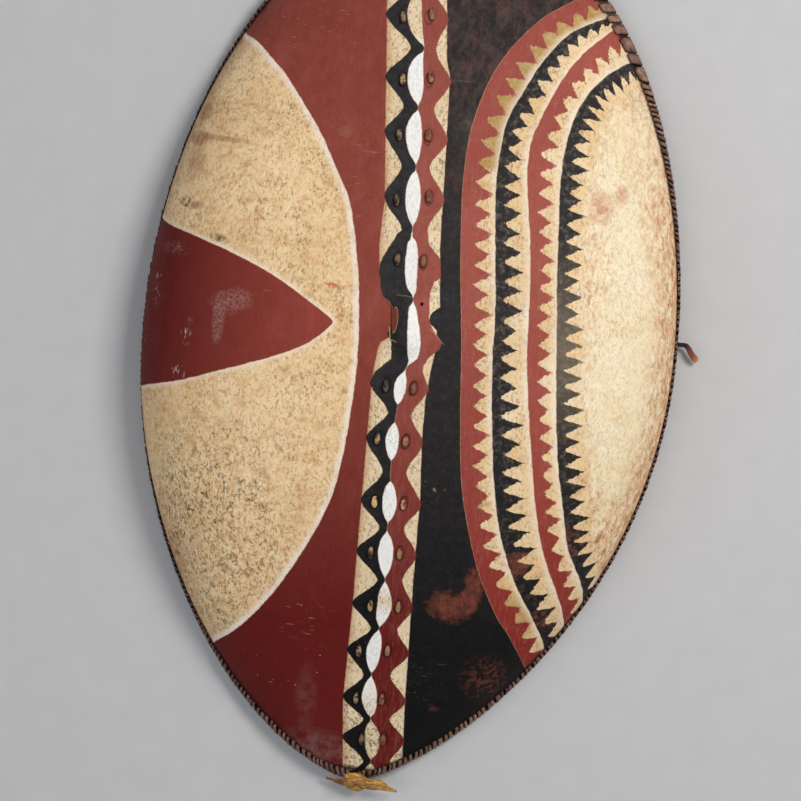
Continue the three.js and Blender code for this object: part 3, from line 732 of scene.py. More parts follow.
# Pale half moon of the left side, specked all over and brown along the edge
def paleSide(paint):
    y, blots, mottle = paint.y, paint.blots, paint.mottle
    cream = paint.mix(tone(creams["left"]), tone(creams["leftTan"]), (paint.blot * 2.4 - 0.9).held() * 0.7)
    cream = paint.coat(cream, creams["leftPale"], (mottle * 3 - 1.2).held() * 0.6)
    cream = paint.coat(cream, "#c88c52", (blots * 4.4 - 2.15).held() * 0.6)
    cream = paint.coat(cream, creams["leftPale"], (1.55 - blots * 3.6).held() * 0.6)
    cream = paint.coat(cream, "#54401f", (paint.dirt * 0.58 + paint.soiled * 0.62).held())
    higher = 0.4 + ((y - 60) / 90).held() * 0.7
    browned = (1 - paint.f["rim"] / 66).held() ** 1.2 * (0.4 + paint.slow) * higher
    cream = paint.coat(cream, "#8a5024", browned.held() * 0.9)
    rimBrown = (1 - paint.f["rim"] / 26).held() * ((y - 70) / 60).held() * (0.3 + blots * 1.2)
    cream = paint.coat(cream, "#94501f", rimBrown.held() * 0.85)
    stains = paint.spots("stained") + paint.spots("stainedLow") * mottle.above(0.5, 0.08)
    cream = paint.coat(cream, "#93502a", stains.held() * (0.3 + blots).held() * 0.75)
    cream = paint.coat(cream, "#3c2c12", paint.spots("spotted").held() * mottle.above(0.48, 0.05) * 0.85)
    trace = paint.spots("redTrace").above(0.3, 0.3) * paint.ragged.above(0.0, 0.06)
    return paint.coat(cream, "#c4472c", trace * 0.7)


# Red triangle that points in from the left edge
def wedgeRed(paint):
    u, scratch = paint.u, paint.scratch
    # Painted shade: the triangle darkens towards the left edge
    across = ((u / 190 + 1.5) * (0.94 + paint.hand * 0.4)).held()
    wedge = paint.mix(tone(reds["deep"]), tone(reds["wedge"]), across)
    wedge = paint.coat(wedge, "#7a2c24", paint.rubbing.above(0.52, 0.12) * 0.35)
    speck = paint.noise(330, 4, 0.72)
    haze = paint.spots("hazed").held() ** 0.8 * (speck * 3.4 - 1.35).held()
    haze = haze + paint.spots("wedgeScratched") * scratch * 0.7
    ticks = paint.noise(170, 2, 0.5, paint.moved((3.0, 0.8, 1))).above(0.62, 0.03)
    scribbles = paint.noise(210, 3, 0.6, paint.moved((0.6, 2.4, 1)), 2.0).above(0.60, 0.03)
    haze = haze * 0.6 + paint.spots("ticked").held() * ticks + paint.spots("scribbled") * scribbles
    return paint.coat(wedge, "#d8c4ba", haze.held() * 0.55)


def leftSide(paint):
    inward = paint.f["creamArc"] + paint.shake * 0.5
    whitened = ((inward + 8.5) / 5).held() * (0.5 + paint.fine * 0.8).held()
    uneven = (0.8 + paint.hand * 1.6 - paint.mottle.above(0.6, 0.06) * 0.3).held()
    colour = paint.coat(paleSide(paint), "#fff0e2", whitened * uneven)
    colour = paint.mix(colour, redSide(paint), inward.past())
    edgeOn = paint.f["triangle"] + paint.shake * 0.45
    halo = ((edgeOn + 6.5) / 4.5).held() * (0.5 + paint.slow * 0.6)
    colour = paint.coat(colour, "#ffecd4", halo.held() * 0.75 * (0 - edgeOn + 4).past(1))
    return paint.mix(colour, wedgeRed(paint), edgeOn.past())


# Middle band: pale ground and white lens shapes under the stripes
def bandGround(paint):
    y, blots, dirt = paint.y, paint.blots, paint.dirt
    ground = paint.mix(tone(creams["band"]), tone("#d6ab78"), (paint.blot * 2.4 - 0.9).held() * 0.7)
    ground = paint.coat(ground, "#fbf0dc", (paint.mottle * 3 - 1.35).held() * 0.6)
    besideRed = (1 - paint.f["bandLeft"] / 8).held() * (0.2 + blots * 1.1)
    ground = paint.coat(ground, "#b5783f", besideRed.held() * 0.75)
    specks = (paint.flecks + paint.dots * 0.8).held() * 0.62 + paint.soiled * 0.2
    ground = paint.coat(ground, "#5a4028", specks.held())
    footSoil = (0.05 - (y + 395) / 60).held()
    ground = paint.coat(ground, "#6c6152", footSoil * paint.strokes.above(0.53, 0.05) * 0.5)
    lens = paint.mix(tone(creams["lens"]), tone("#c9bdb0"), dirt * 0.3)
    tan = ((y - 335) / 16).held() + (1 - ((y + 296) / 18).size()).held() * 0.9 + footSoil
    lens = paint.mix(lens, ground, tan.held())
    between = paint.f["blackRight"].past() * (1 - paint.f["redLeft"].past())
    return paint.mix(ground, lens, between)


# Black paint, greyed where it is rubbed and lighter higher up with painted sheen: as it is in the stripe and
# as it is in the field and the bands
def sootPaint(paint):
    soot = paint.mix(tone(soots["deep"]), tone(soots["rubAndSheen"]), paint.paintedLight.held())
    greyed = (paint.noise(120, 5, 0.75) * 3 - 1.35).held() * (0.08 + paint.paintedLight * 0.36)
    soot = paint.coat(soot, soots["grey"], greyed.held())
    chips = paint.grit.above(0.72, 0.02) * paint.ragged.above(0.06, 0.03) * 0.7
    dusk = (paint.blot * 2 - 0.8).held() * (0.1 + paint.paintedLight * 0.4)
    return paint.coat(soot, "#c9c0ae", chips), paint.coat(soot, "#34201a", dusk.held())


# Black field between the band and the saw-toothed bands, rubbed to brown above
def blackField(paint, dusky):
    y, mottle = paint.y, paint.mottle
    rub = ((y - 90) / 240).held() * paint.streaks.above(0.52, 0.09) * 0.5
    field = paint.coat(dusky, "#64504a", rub)
    field = paint.coat(field, "#7c4238", rub * paint.blots.above(0.55, 0.05) * 0.7)
    # Painted shade: darker still towards the foot
    field = paint.coat(field, "#040304", ((-330 - y) / 90).held() * 0.8)
    field = paint.coat(field, "#6f6a50", paint.spots("greened") * mottle.above(0.52, 0.06) * 0.35)
    ember = paint.rubbedThrough(paint.spots("ember").held())
    ember = ember + paint.spots("emberLow") * mottle.above(0.53, 0.05) * 0.5
    field = paint.coat(field, "#8c4836", ember.held() * 0.9)
    field = paint.coat(field, "#8f8676", paint.spots("fieldScratched").held() * paint.scratch * 0.6)
    chips = paint.spots("chipped") * mottle.above(0.63, 0.03)
    chips = chips + paint.spots("chippedLow") * paint.grit.above(0.70, 0.02)
    return paint.coat(field, "#b9ab84", chips.held() * 0.8)


# Black and red stripes of the band, with the worn place and the fine lines of the boss
def stripes(paint, colour, chipped):
    u, y, hand = paint.u, paint.y, paint.hand
    colour = paint.mix(colour, chipped, paint.upTo("blackLeft", "blackRight", 0.6, 0.35))
    # The red stripe runs from painted shade below to painted sheen higher up
    stripe = paint.mix(tone(reds["stripeDeep"]), tone(reds["stripe"]), paint.paintedLight.held())
    worn = paint.brushed.above(0.58, 0.1) * 0.2 + paint.ragged.above(0.17, 0.04) * 0.2
    stripe = paint.coat(stripe, "#b07a6a", worn)
    colour = paint.mix(colour, stripe, paint.upTo("redLeft", "redRight", 0.35, 0.6))
    bare = paint.spots("bare") * (1.05 + paint.ragged * 2.2)
    colour = paint.coat(colour, "#dcb48c", (bare.above(0.12, 0.1) * (u + 5).past(2)).held() * 0.7)
    colour = paint.coat(colour, "#8c4634", bare.above(0.32, 0.12))
    drop = hairLine(u + 8.4 - (16 - y) * 0.16, 0.4, y - 11, 7)
    flow = hairLine((y - 3.5) + (u + 4) * 0.28 + hand * 4, 0.4, u + 3, 5)
    colour = paint.coat(colour, "#d3b58a", (drop + flow).held() * 0.85)
    crease = hairLine(y - 55.5 + (u - 4) * 0.1 + hand * 5, 0.3, u - 4.5, 9, 0.6)
    return paint.coat(colour, "#a3946a", crease * 0.6)


# Saw-toothed bands on the right
def sawBands(paint, colour, dusky):
    y, f, slow, hand = paint.y, paint.f, paint.slow, paint.hand
    blot, blots, mottle, paintedLight = paint.blot, paint.blots, paint.mottle, paint.paintedLight
    pale = paint.mix(tone(creams["saw"]), tone("#dcae70"), (blot * 2.2 - 0.8).held() * 0.7)
    pale = paint.coat(pale, "#c98a5c", (blots * 4 - 2.0).held() * 0.4)
    pale = paint.coat(pale, "#fff2da", (slow * 3 - 1.4).held() * 0.6)
    pale = paint.coat(pale, "#6e4a2c", (paint.flecks + paint.dots * 0.7).held() * 0.5)
    ochre = (((y - 204) / 6).held() + paint.spots("ochre")).held()
    ochre = ochre * (1 - ((f["saw"] - 27) / 13).size()).held().above(0.12, 0.12)
    pale = paint.coat(pale, "#b08a45", ochre * (0.35 + blots).held() * 0.9)
    colour = paint.mix(colour, pale, (f["saw"] + paint.shake * 0.3).past())
    # The red and black of the bands lighten upwards with painted sheen and stay deep in painted shade below
    bandRed = paint.mix(tone(reds["sawDeep"]), tone(reds["saw"]), paintedLight.held())
    bandRed = paint.coat(bandRed, "#7a2a22", (blot * 2 - 0.75).held() * 0.4)
    worn = paint.brushed.above(0.6, 0.1) * 0.2 + mottle.above(0.62, 0.04) * 0.25
    bandRed = paint.coat(bandRed, "#c08070", worn)
    worn = paint.rubbedThrough(paint.spots("bandWorn"))
    worn = worn + paint.spots("bandWornLow") * mottle.above(0.5, 0.06) * 0.7
    bandSoot = paint.coat(dusky, "#8c4a38", worn.held() * 0.9)
    bandSoot = paint.coat(bandSoot, "#8a7d70", mottle.above(0.57, 0.07) * (0.1 + paintedLight * 0.4).held())
    thin = (f["saw"] - 100).past(3) * (1 - ((y - 20) / 120).size()).held() * (0.3 + mottle).held()
    bandSoot = paint.coat(bandSoot, "#8c7e6a", (thin * 0.75).held())
    for k, (start, root, reach) in enumerate(zip(saw["starts"], saw["roots"], saw["reaches"])):
        offset = f["saw"] - start + hand * 3.4
        run = f["firstRun" if k < 2 else "lastRun"]
        crowding = (1 - run / saw["crowded"]).held()
        turns = run / saw["pitches"][k] - crowding * crowding * saw["closer"]
        counted = turns + hand * 0.3 + paint.ragged * 0.07 + saw["offsets"][k]
        number = counted.maths("FLOOR", counted) + 17 * k
        draw = paint.node("ShaderNodeTexWhiteNoise", "Value", {"W": number}, noise_dimensions="1D")
        turned = counted.zigzag()
        tooth = ((turned * turned + 0.03) ** 0.5 - 0.173) * (0.94 + draw * 0.5)  # its tip is rounded
        notch = offset + paint.ragged * 10.0 + (paint.fine - 0.5) * 5.0 - root + (slow - 0.5) * 6
        inked = offset.past() * (reach * tooth * (1 - crowding * 0.3) - notch).past(0.9)
        if k:
            edging = (1 - (offset + 1).size() / 8).held()
            colour = paint.coat(colour, "#fff0de", edging * (0.15 + slow * 0.75).held())
        colour = paint.mix(colour, bandSoot if k % 2 else bandRed, inked)
    return colour


# Last pale field on the right, the brightest of them, veined with reddish brown towards its edge
def lastField(paint):
    y, f, mottle, blots = paint.y, paint.f, paint.mottle, paint.blots
    bright = paint.mix(tone(creams["right"]), tone("#f0d49c"), (paint.blot * 2.4 - 1.0).held() * 0.7)
    bright = paint.coat(bright, "#fffbe4", (1.7 - blots * 3.2).held() * 0.7)
    veins = paint.noise(125, 5, 0.75, paint.moved((1.5, 0.7, 1), by=(0.7, 0.2, 0.4)), 0.5)
    outward = (1 - f["rim"] / 84).held() ** 0.8 * (1 - ((y - 170) / 90).held() * 0.7)
    reddened = outward * 1.2 + (1 - ((f["saw"] - 146) / 13).size()).held() * 0.25 + 0.12
    reddened = reddened + paint.spots("reddened")
    pinked = paint.spots("pinked") * blots.above(0.44, 0.08) + paint.spots("pinkedHigh")
    bright = paint.coat(bright, "#e0a06a", (veins.above(0.48, 0.06) * reddened).held() * 0.85)
    bright = paint.coat(bright, "#e2a474", outward * blots.above(0.5, 0.08) * 0.6)
    bright = paint.coat(bright, "#cd7f62", pinked.held() * mottle.above(0.4, 0.12) * 0.7)
    bright = paint.coat(bright, "#9c5e34", (veins.above(0.57, 0.05) * reddened).held() * 0.75)
    bright = paint.coat(bright, "#8a6440", paint.dirt * 0.34)
    return paint.coat(bright, "#c08a4c", (1 - f["rim"] / 26).held() ** 1.4 * 0.6)


# Painted shade in rings round the stitches and along the edge under the lacing, painted shade in the slit and
# the hole of the boss, and a painted highlight along its ridge
def fineMarks(paint, colour):
    u, y = paint.u, paint.y
    stitchShade = (1 - ((paint.f["ring"] - 1.02 + paint.ragged * 0.3).size() * 3.8)).held()
    colour = paint.coat(colour, "#140c0a", stitchShade * (0.2 + paint.fine).held() * 0.8)
    # Painted shade along the edge under the lacing
    colour = paint.coat(colour, "#1c0d09", (1 - (paint.f["rim"] - 13) / 5).held() * 0.9)
    # Painted shade of the slit beside the boss
    colour = paint.coat(colour, "#120a09", hairLine(u + 9.6 - (42 - y) * 0.12, 0.5, y - 24, 19, 0.5, 0.06))
    # Painted highlight along the ridge of the boss
    ridgeHighlight = hairLine(u - 46.5 + (y - 14.2) * 1.1 + paint.hand * 5, 0.2, y - 14, 8, 0.7)
    colour = paint.coat(colour, "#e9c4a0", ridgeHighlight * 0.7)
    # Painted shade of a hole
    return paint.coat(colour, "#0c0706", paint.spots("hole").above(0.3, 0.2))


# Bare back of the hide
def rawhide(paint):
    fibre = paint.noise(50, 5, 0.65, paint.moved((1, 3, 1)))
    colour = paint.mix(tone("#9a7750"), tone("#5f4228"), (fibre * 2.4 - 0.7).held())
    return paint.coat(colour, "#c4a074", paint.blot.above(0.56, 0.1) * 0.5)


def paintedHide():
    paint = HidePaint()
    chipped, dusky = sootPaint(paint)
    colour = paint.mix(leftSide(paint), bandGround(paint), paint.upTo("bandLeft", "bandRight", 0.3, 0.3))
    colour = paint.mix(colour, blackField(paint, dusky), (paint.f["bandRight"] + paint.shake * 0.3).past())
    colour = stripes(paint, colour, chipped)
    colour = sawBands(paint, colour, dusky)
    lastShare = (paint.f["saw"] - saw["lastField"] + paint.hand * 20).past(6)
    colour = paint.mix(colour, lastField(paint), lastShare)
    colour = fineMarks(paint, colour)
    colour = paint.mix(colour, rawhide(paint), paint.f["inside"])
    roughness = 0.50 + paint.fine * 0.22 + paint.dirt * 0.12 + paint.slow * 0.1
    normal = paint.height((paint.fine, 0.0005), (paint.grit, 0.0003), (paint.slow, 0.0012),
                          (1 - paint.dirt, 0.0003))
    print("hide painted")
    return paint.surface(colour, roughness.held(), normal, Specular_IOR_Level=0.2)


makeHide(paintedHide())

# Lacing over the edge

lacing = {
    "pitch": 6.8,
    "gap": 0.9,
    "reach": 12.5,
    "topReach": 21.0,  # it covers more of the face beside the top tip
    "slant": 5.5,
    "proud": 2.1,
    "halfThickness": 1.15,
    "broadPitch": 19.0,  # of the worn blocks near the top
    "broadFrom": 322,  # Y above which the right edge has them
    "sections": 6,
}


def rimFrames(turn):
    turn = np.mod(turn, 360)
    row = np.where(turn <= 180, turn - 90, 270 - turn)
    side = np.where(turn <= 180, 1.0, -1.0)
    return row, side


def rimTable(count=2160):
    turn = np.arange(count) * 360 / count
    spot = lambda t: facePoint(*rimFrames(t))[0]
    point = spot(turn)
    along = unit(spot(turn + 0.3) - spot(turn - 0.3))
    normal = sum(faceNormal(*rimFrames(turn + offset)) for offset in (-6, -3, 0, 3, 6))
    normal = unit(normal - along * (normal * along).sum(-1, keepdims=True))
    gaps = np.linalg.norm(np.roll(point, -1, axis=0) - point, axis=1)
    run = np.concatenate([[0], np.cumsum(gaps)])
    wrap = lambda a: np.concatenate([a, a[:1]])
    return run, wrap(point), wrap(normal), wrap(np.cross(along, normal))


def makeLacing(finish):
    run, point, normal, outward = rimTable()
    total = run[-1]
    read = lambda values, s: np.stack([np.interp(np.mod(s, total), run, values[:, k]) for k in range(3)], -1)
    wraps = []
    s = 0.0
    while s < total - 4:
        x, y, _ = read(point, np.array([s]))[0]
        broad = y > lacing["broadFrom"] and x > 0
        spread = (0.6, 1.4) if broad else (0.76, 1.24)
        width = (lacing["broadPitch"] if broad else lacing["pitch"]) * chance.uniform(*spread)
        wraps.append((s + width / 2, width, x, y))
        s += width
    stretch = total / s
    points, faces, tint, wornTop, edge = [], [], [], [], []
    count = lacing["sections"]
    for place, width, x, y in wraps:
        frayed = x < -40 and y < -380
        high = np.clip((y - 60) / 320, 0, 1) if x > 0 else np.clip((y - 250) / 200, 0, 1)
        reach = lacing["reach"] + (lacing["topReach"] - lacing["reach"]) * high
        reach += chance.uniform(-1.6, 1.2) * (2.2 if frayed else 1)
        slant = lacing["slant"] * (1 if x > 0 else -1) + chance.uniform(-1.2, 1.2) * (3 if broad else 1)
        proud = lacing["proud"] + chance.uniform(-0.5, 0.15)
        thick = lacing["halfThickness"] * chance.uniform(0.75, 1.0)
        deep = face["thickness"]
        path = smoothCurve([
            (-reach, -0.8, 1.0), (1.8 - reach, proud, 0.85), (-reach * 0.45, proud * 1.05, 0.4),
            (-1.5, proud, 0.1),
            (proud * 0.8, proud * 0.2, 0), (proud, -deep * 0.5, 0), (proud * 0.8, -deep - proud * 0.2, 0),
            (-1.5, -deep - proud, -0.1), (-reach * 0.45, -deep - proud, -0.4),
            (3 - reach, -deep - proud, -0.8),
            (1 - reach, 0.8 - deep, -0.9)], 14)
        direction = unit(np.gradient(path[:, :2], axis=0))
        across = np.stack([-direction[:, 1], direction[:, 0]], -1)
        half = max(width - lacing["gap"] * chance.uniform(0.5, 1.6), width * 0.7) / 2
        narrow = 1 - 0.22 * np.abs(path[:, 2]) * chance.uniform(0.4, 1.4)
        start = sum(len(p) for p in points)
        # Painted shade: the wraps on the left side above the foot are darker
        shade = chance.uniform(0, 1) * (1 if x > 0 or y < -350 else 0.55)
        rub = chance.uniform(0.1, 1.0) * (1.2 if high > 0.6 else 0.8)
        for (out, up, slide), (ax, ay), tight in zip(path, across, narrow):
            ring = []
            for k in range(count):
                angle = 2 * math.pi * (k + 0.5) / count
                wide = math.copysign(abs(math.cos(angle)) ** 0.5, math.cos(angle)) * half * tight
                skin = -math.sin(angle) * thick
                spot = np.array([(place + slide * slant + wide) * stretch])
                base, n, o = read(point, spot)[0], read(normal, spot)[0], read(outward, spot)[0]
                ring.append(base + o * (out + ax * skin) + n * (up + ay * skin))
            points.append(np.array(ring))
            tint += [shade] * count
            wornTop += [rub * min(1, max(0, up / proud)) for _ in range(count)]
            edge += [abs(math.cos(2 * math.pi * (k + 0.5) / count)) / 0.866 for k in range(count)]
        faces += tubeFaces(len(path), count, start)
    return makePiece("laced_edge", np.concatenate(points), faces, finish, ["edge_lacing"],
                     {"tint": tint, "worn": wornTop, "edge": edge})


def lacedHide():
    hide = Finish("laced hide")
    tint, worn, edge = hide.field("tint"), hide.field("worn"), hide.field("edge")
    slow = hide.noise(60, 4, 0.65)
    fine = hide.noise(500, 4, 0.7)
    broken = hide.noise(150, 5, 0.75)
    colour = hide.mix(tone("#2a150f"), tone("#6b4436"), tint)
    colour = hide.coat(colour, "#8a6a5c", (slow * 2.6 - 0.9).held() * 0.55)
    rubAndSheen = (worn * 1.5 * (broken * 3.0 - 1.1)).held()
    colour = hide.coat(colour, "#c09a84", rubAndSheen * 0.75)
    colour = hide.coat(colour, "#b0703c", (worn - 0.7).held() * broken.above(0.55, 0.05) * 0.8)
    # Painted shade in the gaps between the wraps, broken by noise
    colour = hide.coat(colour, "#120806", ((edge - 0.62) * 2.4 + (0.5 - broken) * 2.6).held() * 0.85)
    normal = hide.height((fine, 0.0005), (slow, 0.0012), (broken, 0.0009))
    return hide.surface(colour, 0.55 + fine * 0.3, normal, Specular_IOR_Level=0.35)


makeLacing(lacedHide())

# Stave behind the face

stave = {
    "width": 24.0, "endWidth": 15.0, "thickness": 13.0, "endThickness": 8.0, "overhang": 15.0, "gap": 0.8,
    "gripDrop": 44.0, "gripStraight": 70.0, "gripThickness": 19.0, "shoulder": 24.0, "stations": 150,
    "corner": 0.34,
}
lashing = {"first": 71.5, "upper": 6, "upperTightening": 0.5, "upperInset": 80.0, "lower": 8,
           "lowerTightening": 2.1, "lowerInset": 53.0, "spread": 16.0, "length": 13.0, "width": 6.0,
           "thickness": 3.0,
           "gap": 0.5, "turnGap": 1.3}


def lashingRun(count, tightening, reach):
    lost = [i * (i - 1) * tightening / 2 for i in range(count)]
    pitch = (reach - lashing["first"] + lost[-1]) / (count - 1)
    return [lashing["first"] + i * pitch - lost[i] for i in range(count)]


def lashingLines():
    grip, half = staveLine["grip"], face["halfLength"]
    upper = lashingRun(lashing["upper"], lashing["upperTightening"], half - lashing["upperInset"] - grip)
    lower = lashingRun(lashing["lower"], lashing["lowerTightening"], half - lashing["lowerInset"] + grip)
    return [grip + run for run in reversed(upper)] + [grip - run for run in lower]


def easing(value, low, high):
    s = min(max((value - low) / (high - low), 0), 1)
    return s * s * (3 - 2 * s)


def staveTaper(y):
    lines = lashingLines()
    ends = lines[0] + stave["overhang"], lines[-1] - stave["overhang"]
    reach = ends[0] - staveLine["grip"] if y > staveLine["grip"] else staveLine["grip"] - ends[1]
    return (abs(y - staveLine["grip"]) / reach) ** 2


def plainThickness(y):
    return stave["thickness"] + (stave["endThickness"] - stave["thickness"]) * staveTaper(y)


def makeStave(finish):
    lines = lashingLines()
    top, foot = lines[0] + stave["overhang"], lines[-1] - stave["overhang"]
    row, share = faceAt(float(staveX(staveLine["grip"])), staveLine["grip"])
    gripLevel = facePoint(row, share)[0][2] - face["thickness"] - stave["gripDrop"]
    points, depth = [], []
    corner, cornerSteps = stave["corner"], 4
    outline = []
    for cx, cy, start in ((1, 1, 0), (-1, 1, 90), (-1, -1, 180), (1, -1, 270)):
        for step in range(cornerSteps + 1):
            angle = math.radians(start + step * 90 / cornerSteps)
            middle = cx * (1 - corner), cy * (1 - corner)
            outline.append((middle[0] + corner * math.cos(angle), middle[1] + corner * math.sin(angle)))
    for i, y in enumerate(np.linspace(foot, top, stave["stations"])):
        slope = lashing["first"] - stave["gripStraight"] / 2 - lashing["length"] / 2 - lashing["width"]
        grip = 1 - easing(abs(y - staveLine["grip"]) - stave["gripStraight"] / 2, 0, slope)
        x = float(staveX(y))
        row, share = faceAt(x, y)
        point, normal = facePoint(row, share)[0], faceNormal(row, share)
        taper = staveTaper(y)
        width = stave["width"] + (stave["endWidth"] - stave["width"]) * taper
        thick = plainThickness(y) + (stave["gripThickness"] - plainThickness(y)) * grip
        down = unit(-normal * (1 - grip) + np.array([0, 0, -1.0]) * grip)
        front = point + down * (face["thickness"] + stave["gap"])
        front[2] += (gripLevel - front[2]) * grip
        front[1] += (y - front[1]) * grip
        rounded = max(0, 1 - min(y - foot, top - y) / 5) ** 2 * 0.35
        for a, b in outline:
            cut = 1 - 0.035 * (1 + float(waves(np.array(y * 0.6 + a * 40), np.array(b * 40.0), 30, 8)))
            points.append(front + down * (thick * 0.5 * (1 + b * cut * (1 - rounded)))
                          + np.array([width / 2 * a * cut * (1 - rounded), 0, 0]))
            depth.append(grip)
    faces = tubeFaces(stave["stations"], len(outline))
    return makePiece("carved_stave", points, faces, finish, ["back_stave"], {"handled": depth})


def carvedWood():
    wood = Finish("carved wood")
    grain = wood.noise(30, 5, 0.6, wood.moved((7, 0.7, 7)), 0.8)
    fine = wood.noise(300, 3, 0.6, wood.moved((2, 0.15, 2)))
    knife = wood.noise(26, 1, 0.4, wood.moved((1, 0.6, 1)))
    colour = wood.mix(tone("#4a3020"), tone("#84603c"), (grain * 2.2 - 0.6).held())
    colour = wood.coat(colour, "#2b190f", (fine * 2.6 - 1.2).held() * 0.6)
    colour = wood.coat(colour, "#5a3a20", wood.field("handled") * 0.6)
    roughness = 0.62 - wood.field("handled") * 0.22 + fine * 0.12
    return wood.surface(colour, roughness, wood.height((grain, 0.0006), (fine, 0.0003), (knife, 0.0015)))


makeStave(carvedWood())

# Lashings: a stitch on the face either side of the stave and two turns behind it


def makeLashing(number, y, pair, finish):
    x = float(staveX(y))
    row, share = faceAt(x, y)
    origin, normal = facePoint(row, share)[0], faceNormal(row, share)
    along = np.array([float(staveX(y + 1) - staveX(y - 1)), 2.0, 0])
    along = unit(along - normal * (along @ normal))
    across = np.cross(along, normal)
    leftY, leftX, rightY, rightX = pair
    leftShift = np.array([leftX - (x - lashing["spread"]), leftY - y])
    rightShift = np.array([rightX - (x + lashing["spread"]), rightY - y])
    spread, end = lashing["spread"], lashing["length"] / 2
    front = lashing["gap"] + lashing["thickness"] / 2
    underStave = face["thickness"] + stave["gap"] + plainThickness(y)
    back = -(underStave + lashing["turnGap"] + lashing["thickness"] / 2)
    corner = [
        (spread, 0, front + 0.4, 1.0, 1, 0),
        (spread, end * 0.5, front, 0.9, 1, 0),
        (spread, end * 0.92, front - 1.6, 0.66, 1, 0),
        (spread, end, -face["thickness"] - 1.5, 0.85, 1, 0),
        (spread + 0.4, end * 0.9, back * 0.72, 0.9, 0.6, -0.8),
        (spread - 1.5, end * 0.72, back + 0.4, 1.0, 0, -1),
        (spread * 0.5, end * 0.64, back - 0.1, 1.0, 0, -1),
        (0, end * 0.6, back - 0.1, 1.0, 0, -1),
    ]
    flip = lambda spots, sx, sy: [(a * sx, b * sy, c, w, wx * sx, wy * sy) for a, b, c, w, wx, wy in spots]
    route = (corner + flip(corner[:-1], -1, 1)[::-1] + flip(corner[1:], -1, -1)
             + flip(corner[1:-1], 1, -1)[::-1])
    route = np.array(route)
    sideShift = np.where(route[:, :1] > 0, rightShift, leftShift) * np.clip(np.abs(route[:, :1]) / spread,
                                                                            0, 1)
    route[:, :2] += sideShift
    swell = np.array([chance.uniform(0.9, 1.15), chance.uniform(0.9, 1.15)])
    path = smoothCurve(route, 88, closed=True)
    direction = unit(np.gradient(np.concatenate([path[-1:, :3], path[:, :3], path[:1, :3]]), axis=0)[1:-1])
    points, top, side = [], [], []
    count = 10
    for spot, ahead in zip(path, direction):
        wide = np.array([spot[4], spot[5], 0])
        wide = unit(wide - ahead * (wide @ ahead))
        deep = np.cross(ahead, wide)
        size = spot[3] * (swell[int(spot[0] > 0)] if spot[2] > 0 else 1)
        for k in range(count):
            angle = 2 * math.pi * k / count
            a = math.copysign(abs(math.cos(angle)) ** 0.7, math.cos(angle)) * lashing["width"] / 2 * size
            b = math.copysign(abs(math.sin(angle)) ** 0.8, math.sin(angle)) * lashing["thickness"] / 2
            local = spot[:3] + wide * a + deep * b
            points.append(origin + across * local[0] + along * local[1] + normal * local[2])
            top.append(min(max((local[2] + 0.2) / 3.0, 0), 1))
            side.append(1.0 if local[0] > 0 else 0.0)
    shade = [chance.uniform(0, 1)] * len(points)
    faces = tubeFaces(len(path), count, joined=True)
    makePiece(f"thong_{number}", points, faces, finish, [f"lashing_{number}"],
              {"top": top, "tint": shade, "side": side})


def thongHide():
    hide = Finish("thong hide")
    top, tint, painted = hide.field("top"), hide.field("tint"), hide.field("side")
    fine = hide.noise(420, 4, 0.7)
    slow = hide.noise(150, 3, 0.6)
    colour = hide.mix(tone("#2e1a12"), tone("#5f4029"), (slow * 2 - 0.5).held())
    cover = hide.mix(tone("#1a1412"), tone("#6e2c24"), painted)
    colour = hide.mix(colour, cover, (top * 3).held() * 0.92)
    rubAndSheen = (top * 2.4 - 1.3).held() * ((slow * 5 - 2.0).held() * (tint * 1.2 + 0.35)).held()
    colour = hide.coat(colour, "#c39a6c", rubAndSheen * (0.9 - painted * 0.3))
    # Painted shade where the thong lies on the hide and goes into it
    colour = hide.coat(colour, "#150c09", (1 - (top * 2.2 - 0.3).size() * 1.6).held() * 0.7)
    colour = hide.coat(colour, "#e8b878", (tint - 0.82).past(0.03) * rubAndSheen.above(0.35, 0.15) * 0.8)
    return hide.surface(colour, 0.5 + fine * 0.3, hide.height((fine, 0.0005), (slow, 0.0009)))


thongFinish = thongHide()
for number, (y, pair) in enumerate(zip(lashingLines(), stitches), 1):
    makeLashing(number, y, pair, thongFinish)

# Loose ends of hide at the foot and the right edge

looseEnds = {
    "sideLine": 32.0, "stem": 10.0, "length": 23.0, "fall": 17.0, "width": 8.0, "thickness": 3.0,
    "gap": 1.6, "lacingThickness": 3.4, "stripThickness": 2.6, "knotRadius": 6.0,
}


# Strip of hide through points, with its own width, thickness, sideways tilt and fold height at each
def hideStrip(path, count, crossings=13, up=(0, 0, 1)):
    path = smoothCurve(path, count)
    direction = unit(np.gradient(path[:, :3], axis=0))
    points, run = [], []
    for i, (spot, ahead) in enumerate(zip(path, direction)):
        width, thick, tilt, fold = spot[3:7]
        across = unit(np.cross(np.array(up, float), ahead))
        lift = np.cross(ahead, across)
        turned = across * math.cos(tilt) + lift * math.sin(tilt)
        across, lift = turned, lift * math.cos(tilt) - across * math.sin(tilt)
        upper, lower = [], []
        for k in range(crossings):
            a = 2 * k / (crossings - 1) - 1
            wrinkle = 0.25 * math.sin(7 * a + i * 0.4)
            body = spot[:3] + across * a * width / 2 + lift * (fold * (1 - abs(a) ** 1.3) + wrinkle)
            edge = math.sqrt(max(1 - a * a, 0)) ** 0.6
            upper.append(body + lift * thick / 2 * edge)
            lower.append(body - lift * thick / 2 * edge)
        points += upper + lower[-2:0:-1]
        run += [i / (count - 1)] * (2 * crossings - 2)
    return points, tubeFaces(count, 2 * crossings - 2), run


def joinStrips(name, strips, frameAt, finish, nodes):
    points, faces, run, part = [], [], [], []
    for k, (spots, sides, along) in enumerate(strips):
        start = len(points)
        points += [frameAt(p) for p in spots]
        faces += [tuple(start + i for i in side) for side in sides]
        run += along
        part += [k / max(len(strips) - 1, 1)] * len(spots)
    return makePiece(name, points, faces, finish, nodes, {"run": run, "part": part})


